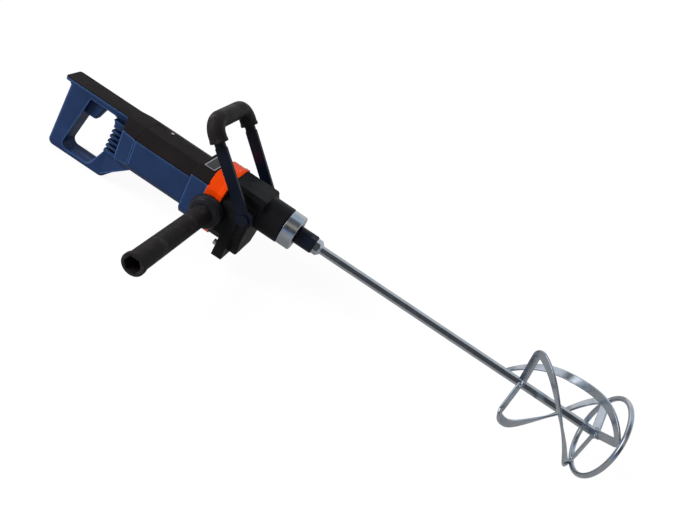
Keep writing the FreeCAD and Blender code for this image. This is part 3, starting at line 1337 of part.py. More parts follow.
def build():
    save("gear_case", gear_case())
    save("gear_case_middle", gear_case_middle())
    save("case_screws", case_screws())
    save("clamping_collar", clamping_collar())
    save("spindle", spindle())
    save("spindle_gear", spindle_gear())
    save("spindle_coupling", spindle_coupling())
    save("spindle_circlip", tube_x(CIRCLIP_RADIUS, SPINDLE_RADIUS, SLOW_BACK - CIRCLIP_WIDTH, SLOW_BACK))
    save("spindle_seal", spindle_seal())
    save("spindle_front_bearing",
         bearing(NECK_BEARING_RADIUS, SPINDLE_RADIUS, NECK_BEARING_BACK, NECK_BEARING_FRONT, SPINDLE_AT))
    back = CASE_BACK - STUB_BEARING_WIDTH
    save("spindle_rear_bearing",
         bearing(STUB_BEARING_RADIUS, SPINDLE_STUB_RADIUS, back, CASE_BACK, SPINDLE_AT))
    save("countershaft", countershaft())
    save("countershaft_gear", countershaft_gear())
    save("countershaft_pinion", countershaft_pinion())
    back = SLOW_FRONT + GEAR_ROOM
    front = back + COUNTER_BEARING_WIDTH
    save("countershaft_front_bearing",
         bearing(COUNTER_BEARING_RADIUS, COUNTER_STUB_RADIUS, back, front, COUNTER_AT))
    back = CASE_BACK - COUNTER_BEARING_WIDTH
    save("countershaft_rear_bearing",
         bearing(COUNTER_BEARING_RADIUS, COUNTER_STUB_RADIUS, back, CASE_BACK, COUNTER_AT))
    save("motor_flange", motor_flange())
    save("motor_housing", motor_housing())
    save("motor_top_cover", motor_top_cover())
    save("motor_front_cover", motor_front_cover())
    save("cover_screw", cover_screw())
    save("label_plate", label_plate())
    save("stator_core", stator_core())
    save("field_coils", field_coils())
    save("rotor_shaft", rotor_shaft())
    save("rotor_core", rotor_core())
    save("rotor_windings", rotor_windings())
    save("commutator", commutator())
    save("cooling_fan", cooling_fan())
    save("rotor_front_bearing", bearing(ROTOR_FRONT_BEARING_RADIUS, ROTOR_SHAFT_RADIUS, FLANGE_BACK,
                                        FLANGE_BACK + ROTOR_FRONT_BEARING_WIDTH, MOTOR_AT))
    save("rotor_rear_bearing", bearing(ROTOR_BACK_BEARING_RADIUS, ROTOR_BACK_RADIUS, BACK_BEARING_BACK,
                                       BACK_BEARING_FRONT, MOTOR_AT))
    save("brush_holders", brush_holders())
    save("carbon_brushes", carbon_brushes())
    save("brush_springs", brush_springs())
    body = handle_body()
    save("handle_left_half", handle_half(body, -1))
    save("handle_right_half", handle_half(body, 1))
    save("handle_top_cover", handle_top_cover())
    save("handle_screws", handle_screws())
    save("cord_inlet", cord_inlet())
    save("trigger", trigger())
    save("trigger_spring", trigger_spring())
    save("switch_module", switch_module())
    save("bow_arm_left", bow_arm(-1))
    save("bow_arm_right", bow_arm(1))
    save("bow_cross_tube", bow_cross_tube())
    save("bow_grip_sleeve", bow_grip_sleeve())
    save("bow_pivot_bolts", pivot_bolts())
    save("side_handle_stud", side_handle_stud())
    save("side_handle_guard", side_handle_guard())
    save("side_handle_grip", side_handle_grip())
    shaft = paddle_shaft()
    ring = paddle_ring()
    save("paddle_shaft", shaft)
    save("paddle_nut", paddle_nut())
    save("paddle_ring", ring)
    for k in range(BLADE_COUNT):
        save("paddle_blade_" + str(k + 1), paddle_blade(k, [shaft, ring]))


build()
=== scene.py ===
import json
import math

import bmesh
import bpy
from mathutils import Matrix, Vector


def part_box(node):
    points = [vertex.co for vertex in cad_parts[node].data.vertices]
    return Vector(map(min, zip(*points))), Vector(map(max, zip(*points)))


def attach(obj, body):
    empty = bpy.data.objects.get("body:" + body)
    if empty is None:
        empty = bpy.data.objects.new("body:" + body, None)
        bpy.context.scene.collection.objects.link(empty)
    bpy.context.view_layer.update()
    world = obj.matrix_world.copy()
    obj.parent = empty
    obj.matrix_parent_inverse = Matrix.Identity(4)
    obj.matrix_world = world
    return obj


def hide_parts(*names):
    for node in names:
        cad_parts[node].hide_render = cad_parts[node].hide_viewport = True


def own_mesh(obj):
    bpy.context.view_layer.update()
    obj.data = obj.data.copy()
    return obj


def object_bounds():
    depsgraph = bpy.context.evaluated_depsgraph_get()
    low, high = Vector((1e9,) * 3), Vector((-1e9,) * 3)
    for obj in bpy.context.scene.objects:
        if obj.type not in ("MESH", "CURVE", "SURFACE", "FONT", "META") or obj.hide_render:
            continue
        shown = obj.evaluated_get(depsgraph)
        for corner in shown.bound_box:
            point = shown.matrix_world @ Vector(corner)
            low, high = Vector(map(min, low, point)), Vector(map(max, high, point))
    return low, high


# Looks of the mixing drill around its CAD frame. Metres, in the frame's axes: X runs forward along the
# spindle, Z is up and the side handle points to -Y.

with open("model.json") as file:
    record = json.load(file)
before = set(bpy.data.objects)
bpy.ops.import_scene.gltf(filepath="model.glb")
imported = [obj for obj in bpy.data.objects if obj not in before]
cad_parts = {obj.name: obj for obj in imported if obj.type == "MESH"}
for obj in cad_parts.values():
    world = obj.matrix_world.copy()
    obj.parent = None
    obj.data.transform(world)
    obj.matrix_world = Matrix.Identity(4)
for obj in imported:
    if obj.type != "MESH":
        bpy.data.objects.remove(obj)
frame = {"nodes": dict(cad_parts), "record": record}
CAD_LOW, CAD_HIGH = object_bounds()
NODES = frame["nodes"]
SLOT_OF = {row["node"]: row["material_slot"] for row in frame["record"]["subparts"]}
BODY_OF = {node: body for body, nodes in frame["record"]["behaviour"]["bodies"].items() for node in nodes}
SCENE = bpy.context.scene

# Camera of the photograph
CAMERA_PLACE = Vector((0.10618, -0.79273, 0.49387))
CAMERA_RIGHT = Vector((0.83129, 0.30496, 0.46472))
CAMERA_UP = Vector((-0.55539, 0.42192, 0.71661))
LENS_MM = 32.338
SENSOR_MM = 36.0

# Studio
FLOOR_DROP = 0.001
FLOOR_SIZE = 60.0
FLOOR_SHADE = (0.34, 0.34, 0.34, 1.0)
FLOOR_ROUGHNESS = 0.9
FLOOR_GLOW = 1.42
FLOOR_GLOW_SHARE = 0.65
FLOOR_MIRROR_SHARE = 0.1
ROOM_LEVEL = 0.28
WHITE = (1.0, 1.0, 1.0, 1.0)
# What shiny surfaces mirror above the floor: a room by the angle round the spindle axis, in degrees from the
# horizon on the camera's side over the top to the pale backdrop, with two windows towards the object's rear
ROOM_BANDS = (
    (0, (0.24, 0.36, 0.52, 1.0)),
    (9, (0.22, 0.32, 0.46, 1.0)),
    (20, (0.08, 0.08, 0.085, 1.0)),
    (38, (0.08, 0.085, 0.09, 1.0)),
    (49, (0.48, 0.43, 0.35, 1.0)),
    (57, (0.38, 0.35, 0.3, 1.0)),
    (70, (0.16, 0.16, 0.155, 1.0)),
    (92, (0.14, 0.15, 0.165, 1.0)),
    (109, (0.55, 0.68, 0.84, 1.0)),
    (130, (0.52, 0.57, 0.62, 1.0)),
    (180, (0.85, 0.85, 0.85, 1.0)),
)
ROOM_TURN_DEG = 180
KEY_FROM = Vector((-1.3, -0.8, 0.75))
WINDOW_REACH = (0.92, 0.97)
WINDOWS = (
    (Vector((-0.83, 0.36, 0.42)), (0.88, 0.9, 0.93, 1.0)),
    (KEY_FROM, (1.9, 2.0, 2.15, 1.0)),
)
KEY_LEVEL = 3.2
KEY_SPREAD_DEG = 35.0
RIM_FROM = Vector((0.35, 0.75, 1.0))
RIM_LEVEL = 0.4
RIM_SPREAD_DEG = 50.0

# Mesh preparation
WELD_DISTANCE = 0.000001
FLAT_DEG = 1.2
SHARP_DEG = 28.0
BROAD_DEG = 15.0
SMOOTH_DEG = 32.0
EDGE_SEGMENTS = 3
BROAD_SEGMENTS = 6
ROUND_PROFILE = 0.5
NORMAL_WEIGHT = 60

# Rounded edges: radii, and the places that tell which edges of a shell are rounded broadly
SHELL_EDGE = 0.0006
SMALL_EDGE = 0.0005
TOP_COVER_EDGE = 0.008
TOP_COVER_ABOVE = 0.0165
HOUSING_EDGE = 0.005
HOUSING_BELOW = -0.03
FRONT_COVER_EDGE = 0.003
FRONT_COVER_ABOVE = 0.0245
SEAM_EDGE = 0.0016
SEAM_REACH = 0.0002
COVER_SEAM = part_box("handle_top_cover")[1].x - SEAM_REACH
OPENING_EDGE = 0.002
OPENING_FRONT = -0.306
SCREW_SINK = 0.003
GRIP_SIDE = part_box("handle_screws")[1].y + SCREW_SINK
SAME_PLANE = 0.00005
CASE_EDGE = 0.0018
LONG_EDGE = 0.012
ALONG_SHARE = 0.95

# Paddle blades: one strip each, out along a spoke, along a helix and back in along a spoke
BLADE_COUNT = 3
BLADE_WIDTH = 0.0135
BLADE_THICKNESS = 0.004
BLADE_CORNER = 0.0014
BLADE_RISE = 0.014
BLADE_WAIST = 0.013
BLADE_LEAD = 0.010
BLADE_BEND = 0.011
BLADE_TURN = math.radians(175)
RING_JOINT = math.radians(24)
HUB_TO_HUB = 0.133
LOW_HUB_INSET = 0.009
HELIX_STEPS = 84
BEND_STEPS = 10
SPOKE_STEPS = 8
CORNER_STEPS = 4
RING_STEPS = 168
WIRE_STEPS = 20
HUB_BEAD = 0.0026
RING_BEAD = 0.0034
RING_BEAD_REACH = 0.006
BEAD_RIPPLE = 0.1
BEAD_WAVES = 1.9
SLOW_WAVES_SHARE = 0.37
SLOW_WAVES_START = 1.7
BEAD_END_SHARE = 0.02
BEAD_ASIDE = Vector((0.31, 0.53, 0.79))
BEAD_STEPS = 14
HUB_BEAD_STEPS = 48
RING_BEAD_STEPS = 24

# Noise in materials: the range that is used, its fineness, and its stretch along an axis
NOISE_RANGE = (0.3, 0.7)
PLAIN_DETAIL = 2.0
SOFT_DETAIL = 3.0
ROUGH_DETAIL = 4.0
BROKEN_DETAIL = 5.0
ALONG_X = (0.04, 1.0, 1.0)
ALONG_Y = (1.0, 0.04, 1.0)
EVEN = (1.0, 1.0, 1.0)
FINE_STRENGTH = 0.5

# Edges in materials, and painted shade in hollows, darker where shadow falls
EDGE_SAMPLES = 4
EDGE_RANGE = (0.99, 0.86)
HOLLOW_SAMPLES = 8
HOLLOW_REACH = 0.06
HOLLOW_RANGE = (0.5, 0.92)
HOLLOW_SHADE = 0.2
# Painted highlight: broad edges of open faces made paler, where light catches them
HIGHLIGHT_RADIUS = 0.004
HIGHLIGHT_RANGE = (0.8, 0.96)

# Plastic and paint: noise cells in metres, as in the finishes below
MOULD_CLOUD = 0.045
MOULD_SHADES = (0.86, 1.14)
MOULD_RUB = 0.006
MOULD_RUB_RANGE = (0.42, 0.68)
MOULD_GLOSS = 0.018
MOULD_GLOSS_SPREAD = 0.07
MOULD_STRENGTH = 0.6

# Rubber
RUBBER_EDGE = 0.0008
SMUDGE_SIZE = 0.016
SMUDGE_RANGE = (0.56, 0.74)
SMUDGE_SHARE = 0.5
DUST_SIZE = 0.0022
DUST_RANGE = (0.35, 0.7)
DUST_SHARES = (0.2, 1.0)
DUST_LEVELS = (104, 98, 95)
RUBBER_RUB = 0.005
RUBBER_RUB_RANGE = (0.4, 0.65)
RUBBER_WEAR = 0.6
RUBBER_GLOSS = 0.012
RUBBER_ROUGHNESS = (0.38, 0.56)
RUBBER_SPECULAR = 0.12
RUBBER_GRAIN = 0.0011
RUBBER_DEPTH = 0.0001

# Bare metal
METAL_EDGE = 0.0005
METAL_EDGE_SHARE = 0.5
METAL_EDGE_SHADE = 1.25
METAL_CLOUD = 0.02
METAL_CLOUD_RANGE = (0.35, 0.68)
METAL_SHADES = (0.9, 1.08)
STAIN_SIZE = 0.007
STAIN_RANGE = (0.6, 0.78)
STAIN_SHADE = 0.45
METAL_GLOSS = 0.01
METAL_GLOSS_BELOW = 0.06
METAL_GLOSS_ABOVE = 0.08

# Small plate
LABEL_BORDER = 0.0016
LABEL_FADE = 0.0002
LABEL_CLOUD = 0.006
LABEL_DARK_LEVELS = (26, 26, 29)
LABEL_PALE_LEVELS = (44, 43, 45)
LABEL_RIM_LEVELS = (196, 198, 202)
LABEL_METALLIC = (1.0, 0.2)
LABEL_GLOSS = 0.004
LABEL_ROUGHNESS = (0.28, 0.44)
LABEL_LINES = 0.0006
LABEL_DEPTH = 0.00003


# Materials

def tone(red, green, blue):
    """A colour as a screen shows it, 0 to 255 each, in the renderer's linear values, by the sRGB curve."""
    linear = []
    for level in (red, green, blue):
        share = level / 255
        linear.append(share / 12.92 if share <= 0.04045 else ((share + 0.055) / 1.055) ** 2.4)
    return (*linear, 1.0)


def lighter(colour, factor):
    return (*[min(1.0, part * factor) for part in colour[:3]], 1.0)


def shades(colour, factors):
    return [lighter(colour, factor) for factor in factors]


class Finish:
    """One material: its node tree, with short ways to add textures to it."""

    def __init__(self, name):
        self.material = bpy.data.materials.new(name)
        self.material.use_nodes = True
        self.tree = self.material.node_tree
        self.surface = self.tree.nodes["Principled BSDF"]
        self.place = self.node("ShaderNodeTexCoord").outputs["Object"]

    def node(self, kind, **settings):
        made = self.tree.nodes.new(kind)
        for name, value in settings.items():
            setattr(made, name, value)
        return made

    def feed(self, value, socket):
        """Join an output to a socket, or set the socket to a plain value."""
        if isinstance(value, bpy.types.NodeSocket):
            self.tree.links.new(value, socket)
        else:
            socket.default_value = value

    def set(self, name, value):
        self.feed(value, self.surface.inputs[name])

    def noise(self, size, detail=PLAIN_DETAIL, stretch=EVEN):
        """Cloudy values about a half, with cells of a given size."""
        spread = self.node("ShaderNodeMapping")
        spread.inputs["Scale"].default_value = stretch
        self.feed(self.place, spread.inputs["Vector"])
        made = self.node("ShaderNodeTexNoise")
        made.inputs["Scale"].default_value = 1 / size
        made.inputs["Detail"].default_value = detail
        self.feed(spread.outputs["Vector"], made.inputs["Vector"])
        return made.outputs["Fac"]

    def mapped(self, value, low, high, to_low, to_high):
        """A value moved from one range to another and held at its ends."""
        made = self.node("ShaderNodeMapRange")
        for name, part in (("Value", value), ("From Min", low), ("From Max", high),
                           ("To Min", to_low), ("To Max", to_high)):
            self.feed(part, made.inputs[name])
        return made.outputs["Result"]

    def product(self, first, second):
        made = self.node("ShaderNodeMath", operation="MULTIPLY")
        self.feed(first, made.inputs[0])
        self.feed(second, made.inputs[1])
        return made.outputs["Value"]

    def blend(self, factor, first, second):
        """A colour between two colours."""
        made = self.node("ShaderNodeMix", data_type="RGBA")
        colours = [socket for socket in made.inputs if socket.type == "RGBA"]
        self.feed(factor, made.inputs[0])
        self.feed(first, colours[0])
        self.feed(second, colours[1])
        return [socket for socket in made.outputs if socket.type == "RGBA"][0]

    def bump(self, height, depth, strength, normal=None):
        made = self.node("ShaderNodeBump")
        made.inputs["Distance"].default_value = depth
        made.inputs["Strength"].default_value = strength
        self.feed(height, made.inputs["Height"])
        if normal is not None:
            self.feed(normal, made.inputs["Normal"])
        return made.outputs["Normal"]

    def edges(self, radius):
        """The normal with edges rounded to a radius, and a mask that is 1 at those edges."""
        rounded = self.node("ShaderNodeBevel", samples=EDGE_SAMPLES)
        rounded.inputs["Radius"].default_value = radius
        flat = self.node("ShaderNodeNewGeometry")
        facing = self.node("ShaderNodeVectorMath", operation="DOT_PRODUCT")
        self.feed(rounded.outputs["Normal"], facing.inputs[0])
        self.feed(flat.outputs["Normal"], facing.inputs[1])
        return rounded.outputs["Normal"], self.mapped(facing.outputs["Value"], *EDGE_RANGE, 0.0, 1.0)

    def openness(self, reach):
        """From 0 deep in a hollow of the piece to 1 on its open faces."""
        made = self.node("ShaderNodeAmbientOcclusion", samples=HOLLOW_SAMPLES, only_local=True)
        made.inputs["Distance"].default_value = reach
        return made.outputs["AO"]


def moulded(name, colour, roughness, gloss, grain, depth, edge_radius, edge_colour, wear, painted_light=0.0):
    """Plastic or paint: fine grain, cloudy shade, uneven gloss and rubbed edges.

    A painted_light above 0 paints a highlight onto broad edges of open faces, making them paler, and paints
    shade into hollows, making them darker.
    """
    finish = Finish(name)
    normal, edge = finish.edges(edge_radius)
    cloud = finish.mapped(finish.noise(MOULD_CLOUD, SOFT_DETAIL), *NOISE_RANGE, 0.0, 1.0)
    shade = finish.blend(cloud, *shades(colour, MOULD_SHADES))
    if painted_light:
        # painted shade: deep in hollows the colour darkens towards a fifth of itself, where shadow falls
        open_share = finish.openness(HOLLOW_REACH)
        hollow = finish.mapped(open_share, *HOLLOW_RANGE, 1.0, 0.0)
        shade = finish.blend(hollow, shade, lighter(colour, HOLLOW_SHADE))
        # painted highlight: broad edges on open faces take the paler edge colour, where light catches them
        painted_highlight = finish.mapped(open_share, *HIGHLIGHT_RANGE, 0.0, painted_light)
        shade = finish.blend(finish.product(finish.edges(HIGHLIGHT_RADIUS)[1], painted_highlight), shade, edge_colour)
    worn = finish.mapped(finish.noise(MOULD_RUB, ROUGH_DETAIL), *MOULD_RUB_RANGE, 0.0, wear)
    finish.set("Base Color", finish.blend(finish.product(edge, worn), shade, edge_colour))
    uneven = finish.noise(MOULD_GLOSS, ROUGH_DETAIL)
    least = roughness - MOULD_GLOSS_SPREAD
    most = roughness + MOULD_GLOSS_SPREAD
    finish.set("Roughness", finish.mapped(uneven, *NOISE_RANGE, least, most))
    finish.set("Specular IOR Level", gloss)
    finish.set("Normal", finish.bump(finish.noise(grain, SOFT_DETAIL), depth, MOULD_STRENGTH, normal))
    return finish.material


def rubber(name, colour, edge_colour):
    """Rubber with pale dusty smudges rubbed into it."""
    finish = Finish(name)
    normal, edge = finish.edges(RUBBER_EDGE)
    smudge = finish.mapped(finish.noise(SMUDGE_SIZE, BROKEN_DETAIL), *SMUDGE_RANGE, 0.0, SMUDGE_SHARE)
    specks = finish.mapped(finish.noise(DUST_SIZE, SOFT_DETAIL), *DUST_RANGE, *DUST_SHARES)
    shade = finish.blend(finish.product(smudge, specks), colour, tone(*DUST_LEVELS))
    worn = finish.mapped(finish.noise(RUBBER_RUB, ROUGH_DETAIL), *RUBBER_RUB_RANGE, 0.0, RUBBER_WEAR)
    finish.set("Base Color", finish.blend(finish.product(edge, worn), shade, edge_colour))
    uneven = finish.noise(RUBBER_GLOSS, ROUGH_DETAIL)
    finish.set("Roughness", finish.mapped(uneven, *NOISE_RANGE, *RUBBER_ROUGHNESS))
    finish.set("Specular IOR Level", RUBBER_SPECULAR)
    finish.set("Normal", finish.bump(finish.noise(RUBBER_GRAIN), RUBBER_DEPTH, FINE_STRENGTH, normal))
    return finish.material


def bare_metal(name, colour, roughness, stretch, line_size, depth, stain):
    """Bare or plated metal: fine lines along the way it was worked, cloudy plating and a few stains."""
    finish = Finish(name)
    normal, edge = finish.edges(METAL_EDGE)
    cloud = finish.mapped(finish.noise(METAL_CLOUD, ROUGH_DETAIL), *METAL_CLOUD_RANGE, 0.0, 1.0)
    plated = finish.blend(cloud, *shades(colour, METAL_SHADES))
    spots = finish.mapped(finish.noise(STAIN_SIZE, BROKEN_DETAIL), *STAIN_RANGE, 0.0, stain)
    stained = finish.blend(spots, plated, lighter(colour, STAIN_SHADE))
    rubbed = finish.product(edge, METAL_EDGE_SHARE)
    finish.set("Base Color", finish.blend(rubbed, stained, lighter(colour, METAL_EDGE_SHADE)))
    finish.set("Metallic", 1.0)
    uneven = finish.noise(METAL_GLOSS, ROUGH_DETAIL)
    least = roughness - METAL_GLOSS_BELOW
    most = roughness + METAL_GLOSS_ABOVE
    finish.set("Roughness", finish.mapped(uneven, *NOISE_RANGE, least, most))
    lines = finish.noise(line_size, PLAIN_DETAIL, stretch)
    finish.set("Normal", finish.bump(lines, depth, FINE_STRENGTH, normal))
    return finish.material


def label(name):
    """A bare dark plate with a bright rim along its border."""
    finish = Finish(name)
    low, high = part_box("label_plate")
    plate_middle = (low + high) / 2
    half = (high - low) / 2
    axes = finish.node("ShaderNodeSeparateXYZ")
    finish.feed(finish.place, axes.inputs["Vector"])
    inside = 1.0
    for axis, centre, reach in (("X", plate_middle.x, half.x), ("Y", plate_middle.y, half.y)):
        away = finish.node("ShaderNodeMath", operation="SUBTRACT")
        finish.feed(axes.outputs[axis], away.inputs[0])
        finish.feed(centre, away.inputs[1])
        size = finish.node("ShaderNodeMath", operation="ABSOLUTE")
        finish.feed(away.outputs["Value"], size.inputs[0])
        rim = reach - LABEL_BORDER
        within = finish.mapped(size.outputs["Value"], rim, rim + LABEL_FADE, 1.0, 0.0)
        inside = finish.product(within, inside)
    cloud = finish.mapped(finish.noise(LABEL_CLOUD, ROUGH_DETAIL), *NOISE_RANGE, 0.0, 1.0)
    face = finish.blend(cloud, tone(*LABEL_DARK_LEVELS), tone(*LABEL_PALE_LEVELS))
    finish.set("Base Color", finish.blend(inside, tone(*LABEL_RIM_LEVELS), face))
    finish.set("Metallic", finish.mapped(inside, 0.0, 1.0, *LABEL_METALLIC))
    uneven = finish.noise(LABEL_GLOSS, SOFT_DETAIL)
    finish.set("Roughness", finish.mapped(uneven, *NOISE_RANGE, *LABEL_ROUGHNESS))
    lines = finish.noise(LABEL_LINES, PLAIN_DETAIL, ALONG_Y)
    finish.set("Normal", finish.bump(lines, LABEL_DEPTH, FINE_STRENGTH))
    return finish.material


FINISHES = {
    # navy plastic: painted shade in its hollows and a painted highlight in its edge colour on broad edges
    "navy_plastic": moulded(
        "navy_plastic", tone(40, 61, 101), roughness=0.42, gloss=0.12, grain=0.0009, depth=0.00006,
        edge_radius=0.0012, edge_colour=tone(84, 122, 180), wear=0.4, painted_light=0.9),
    "charcoal_plastic": moulded(
        "charcoal_plastic", tone(35, 31, 32), roughness=0.5, gloss=0.05, grain=0.0009, depth=0.00007,
        edge_radius=0.001, edge_colour=tone(80, 72, 69), wear=0.4),
    "black_case": moulded(
        "black_case", tone(25, 25, 28), roughness=0.44, gloss=0.1, grain=0.0013, depth=0.0001,
        edge_radius=0.0012, edge_colour=tone(70, 72, 80), wear=0.5),
    "orange_flange": moulded(
        "orange_flange", tone(255, 72, 0), roughness=0.2, gloss=0.3, grain=0.0014, depth=0.00006,
        edge_radius=0.0014, edge_colour=tone(255, 112, 36), wear=0.5),
    "black_rubber": rubber("black_rubber", tone(37, 34, 35), edge_colour=tone(60, 68, 90)),
    "black_steel": moulded(
        "black_steel", tone(15, 21, 35), roughness=0.36, gloss=0.2, grain=0.0012, depth=0.00005,
        edge_radius=0.001, edge_colour=tone(52, 64, 92), wear=0.5),
    "bright_steel": bare_metal(
        "bright_steel", (0.53, 0.57, 0.62, 1.0), roughness=0.16, stretch=ALONG_X, line_size=0.0007,
        depth=0.00001, stain=0.4),
    "machine_steel": bare_metal(
        "machine_steel", (0.5, 0.51, 0.53, 1.0), roughness=0.26, stretch=EVEN, line_size=0.0008,
        depth=0.00003, stain=0.3),
    "zinc_screws": bare_metal(
        "zinc_screws", (0.6, 0.6, 0.6, 1.0), roughness=0.3, stretch=EVEN, line_size=0.0008,
        depth=0.00003, stain=0.3),
    "label_metal": label("label_metal"),
    "core_steel": bare_metal(
        "core_steel", (0.2, 0.2, 0.21, 1.0), roughness=0.45, stretch=EVEN, line_size=0.0008,
        depth=0.00005, stain=0.4),
    "copper": bare_metal(
        "copper", (0.72, 0.33, 0.17, 1.0), roughness=0.3, stretch=ALONG_X, line_size=0.0008,
        depth=0.0001, stain=0.3),
    "black_plastic": moulded(
        "black_plastic", tone(32, 32, 37), roughness=0.3, gloss=0.2, grain=0.001, depth=0.00003,
        edge_radius=0.0008, edge_colour=tone(70, 82, 110), wear=0.4),
    "graphite": moulded(
        "graphite", tone(48, 48, 50), roughness=0.6, gloss=0.3, grain=0.0006, depth=0.0001,
        edge_radius=0.0006, edge_colour=tone(90, 90, 92), wear=0.5),
    "spring_steel": bare_metal(
        "spring_steel", (0.5, 0.5, 0.52, 1.0), roughness=0.3, stretch=EVEN, line_size=0.0008,
        depth=0.00003, stain=0.3),
}


def paint_frame():
    """Give every CAD node its slot's finish."""
    for node, shape in NODES.items():
        shape.data.materials.clear()
        shape.data.materials.append(FINISHES[SLOT_OF[node]])


# Pieces

def piece(name, mesh, node, replaced):
    """A shown piece that rides on a CAD node's body and takes that node's finish."""
    made = bpy.data.objects.new(name, mesh)
    SCENE.collection.objects.link(made)
    mesh.materials.clear()
    mesh.materials.append(FINISHES[SLOT_OF[node]])
    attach(made, BODY_OF[node])
    if replaced:
        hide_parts(*replaced)
    return made


def smooth(mesh):
    mesh.shade_smooth()
    mesh.set_sharp_from_angle(angle=math.radians(SMOOTH_DEG))


def clean_copy(node):
    """A CAD node's mesh with its corners joined and its flat faces whole."""
    shape = bmesh.new()
    shape.from_mesh(NODES[node].data)
    bmesh.ops.remove_doubles(shape, verts=shape.verts, dist=WELD_DISTANCE)
    bmesh.ops.dissolve_limit(shape, angle_limit=math.radians(FLAT_DEG), verts=shape.verts, edges=shape.edges)
    return shape


def sharp_edges(shape, least_deg):
    least = math.radians(least_deg)
    return [edge for edge in shape.edges if edge.is_manifold and edge.calc_face_angle() > least]


def middle(edge):
    return (edge.verts[0].co + edge.verts[1].co) / 2


def runs_along_x(edge):
    way = edge.verts[1].co - edge.verts[0].co
    return way.length > LONG_EDGE and abs(way.x) > ALONG_SHARE * way.length


def round_edges(shape, edges, radius, segments):
    bmesh.ops.bevel(shape, geom=edges, offset=radius, offset_type="OFFSET", segments=segments,
                    profile=ROUND_PROFILE, affect="EDGES", clamp_overlap=True)


def weighted(made):
    """Let the large faces of a piece set its shading, so that flat faces stay flat beside rounded edges."""
    change = made.modifiers.new("weighted_normals", "WEIGHTED_NORMAL")
    change.keep_sharp = True
    change.weight = NORMAL_WEIGHT


def softened(node, radius, broad_radius=0.0, chosen=None):
    """A CAD node with rounded edges: chosen edges broadly, and then every other sharp edge."""
    shape = clean_copy(node)
    if chosen:
        broad = [edge for edge in sharp_edges(shape, BROAD_DEG) if chosen(edge)]
        round_edges(shape, broad, broad_radius, BROAD_SEGMENTS)
    round_edges(shape, sharp_edges(shape, SHARP_DEG), radius, EDGE_SEGMENTS)
    mesh = bpy.data.meshes.new(node + "_look")
    shape.to_mesh(mesh)
    shape.free()
    smooth(mesh)
    weighted(piece(node + "_look", mesh, node, [node]))


def opening_edge(edge):
    """Whether an edge of the rear handle runs round the hand opening on the grip's flat side."""
    return all(abs(abs(corner.co.y) - GRIP_SIDE) < SAME_PLANE and corner.co.x < OPENING_FRONT
               for corner in edge.verts)


def long_edge(edge):
    return edge.calc_length() > LONG_EDGE


def top_cover_edge(edge):
    return runs_along_x(edge) and middle(edge).z > TOP_COVER_ABOVE


def housing_edge(edge):
    return runs_along_x(edge) and middle(edge).z < HOUSING_BELOW


def front_cover_edge(edge):
    return runs_along_x(edge) and middle(edge).z > FRONT_COVER_ABOVE


def seam_edge(edge):
    """Whether an edge of the handle's top cover lies at its seam with the motor's top cover."""
    return middle(edge).x > COVER_SEAM


def shell_pieces():
    softened("motor_top_cover", SHELL_EDGE, TOP_COVER_EDGE, top_cover_edge)
    softened("motor_housing", SHELL_EDGE, HOUSING_EDGE, housing_edge)
    softened("motor_front_cover", SHELL_EDGE, FRONT_COVER_EDGE, front_cover_edge)
    softened("handle_top_cover", SHELL_EDGE, SEAM_EDGE, seam_edge)
    for node in ("handle_left_half", "handle_right_half"):
        softened(node, SHELL_EDGE, OPENING_EDGE, opening_edge)
    for node in ("gear_case", "gear_case_middle", "motor_flange"):
        softened(node, SHELL_EDGE, CASE_EDGE, long_edge)
    for node in ("trigger", "clamping_collar", "spindle_coupling", "bow_arm_left", "bow_arm_right",
                 "bow_grip_sleeve", "bow_pivot_bolts", "side_handle_grip", "side_handle_guard",
                 "paddle_shaft", "paddle_nut", "label_plate", "case_screws", "cover_screw", "handle_screws"):
        softened(node, SMALL_EDGE)


def trigger_spring():
    """The spring behind the trigger, as a piece with a mesh of its own."""
    mesh = NODES["trigger_spring"].data.copy()
    smooth(mesh)
    made = piece("trigger_spring_look", mesh, "trigger_spring", ["trigger_spring"])
    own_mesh(made)


# Paddle

def paddle_sizes():
    """The ring's and the blades' places, from the frame."""
    ring_low, ring_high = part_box("paddle_ring")
    wire = (ring_high.x - ring_low.x) / 2
    shaft_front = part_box("paddle_shaft")[1].x
    low_hub = shaft_front - LOW_HUB_INSET
    return {
        "ring_x": (ring_low.x + ring_high.x) / 2,
        "wire": wire,
        "ring_radius": ring_high.y - wire,
        "mean": ring_high.y - BLADE_WIDTH / 2,
        "low_hub": low_hub,
        "top_hub": low_hub - HUB_TO_HUB,
        "start": low_hub - HUB_TO_HUB - BLADE_RISE,
        "end": ring_low.x,
    }


SIZES = paddle_sizes()
BLADE_SPAN = SIZES["end"] - SIZES["start"]
BLADE_LENGTH = math.hypot(SIZES["mean"] * BLADE_TURN, BLADE_SPAN)
BLADE_STEEPNESS = math.atan2(SIZES["mean"] * BLADE_TURN, BLADE_SPAN)


def strip_path():
    """Centre line of a blade as (way along the helix, radius)."""
    mean = SIZES["mean"]
    start = [(0.0, (mean - BLADE_BEND) * step / SPOKE_STEPS) for step in range(SPOKE_STEPS)]
    for step in range(BEND_STEPS):
        turn = math.pi / 2 * step / BEND_STEPS
        start.append((BLADE_BEND * (1 - math.cos(turn)), mean - BLADE_BEND * (1 - math.sin(turn))))
    helix = []
    for step in range(HELIX_STEPS + 1):
        share = step / HELIX_STEPS
        along = BLADE_BEND + (BLADE_LENGTH - 2 * BLADE_BEND) * share
        helix.append((along, mean - BLADE_WAIST * math.sin(math.pi * share) ** 2))
    return start + helix + [(BLADE_LENGTH - along, radius) for along, radius in reversed(start)]


def joint_angle(k):
    return RING_JOINT + 2 * math.pi * k / BLADE_COUNT


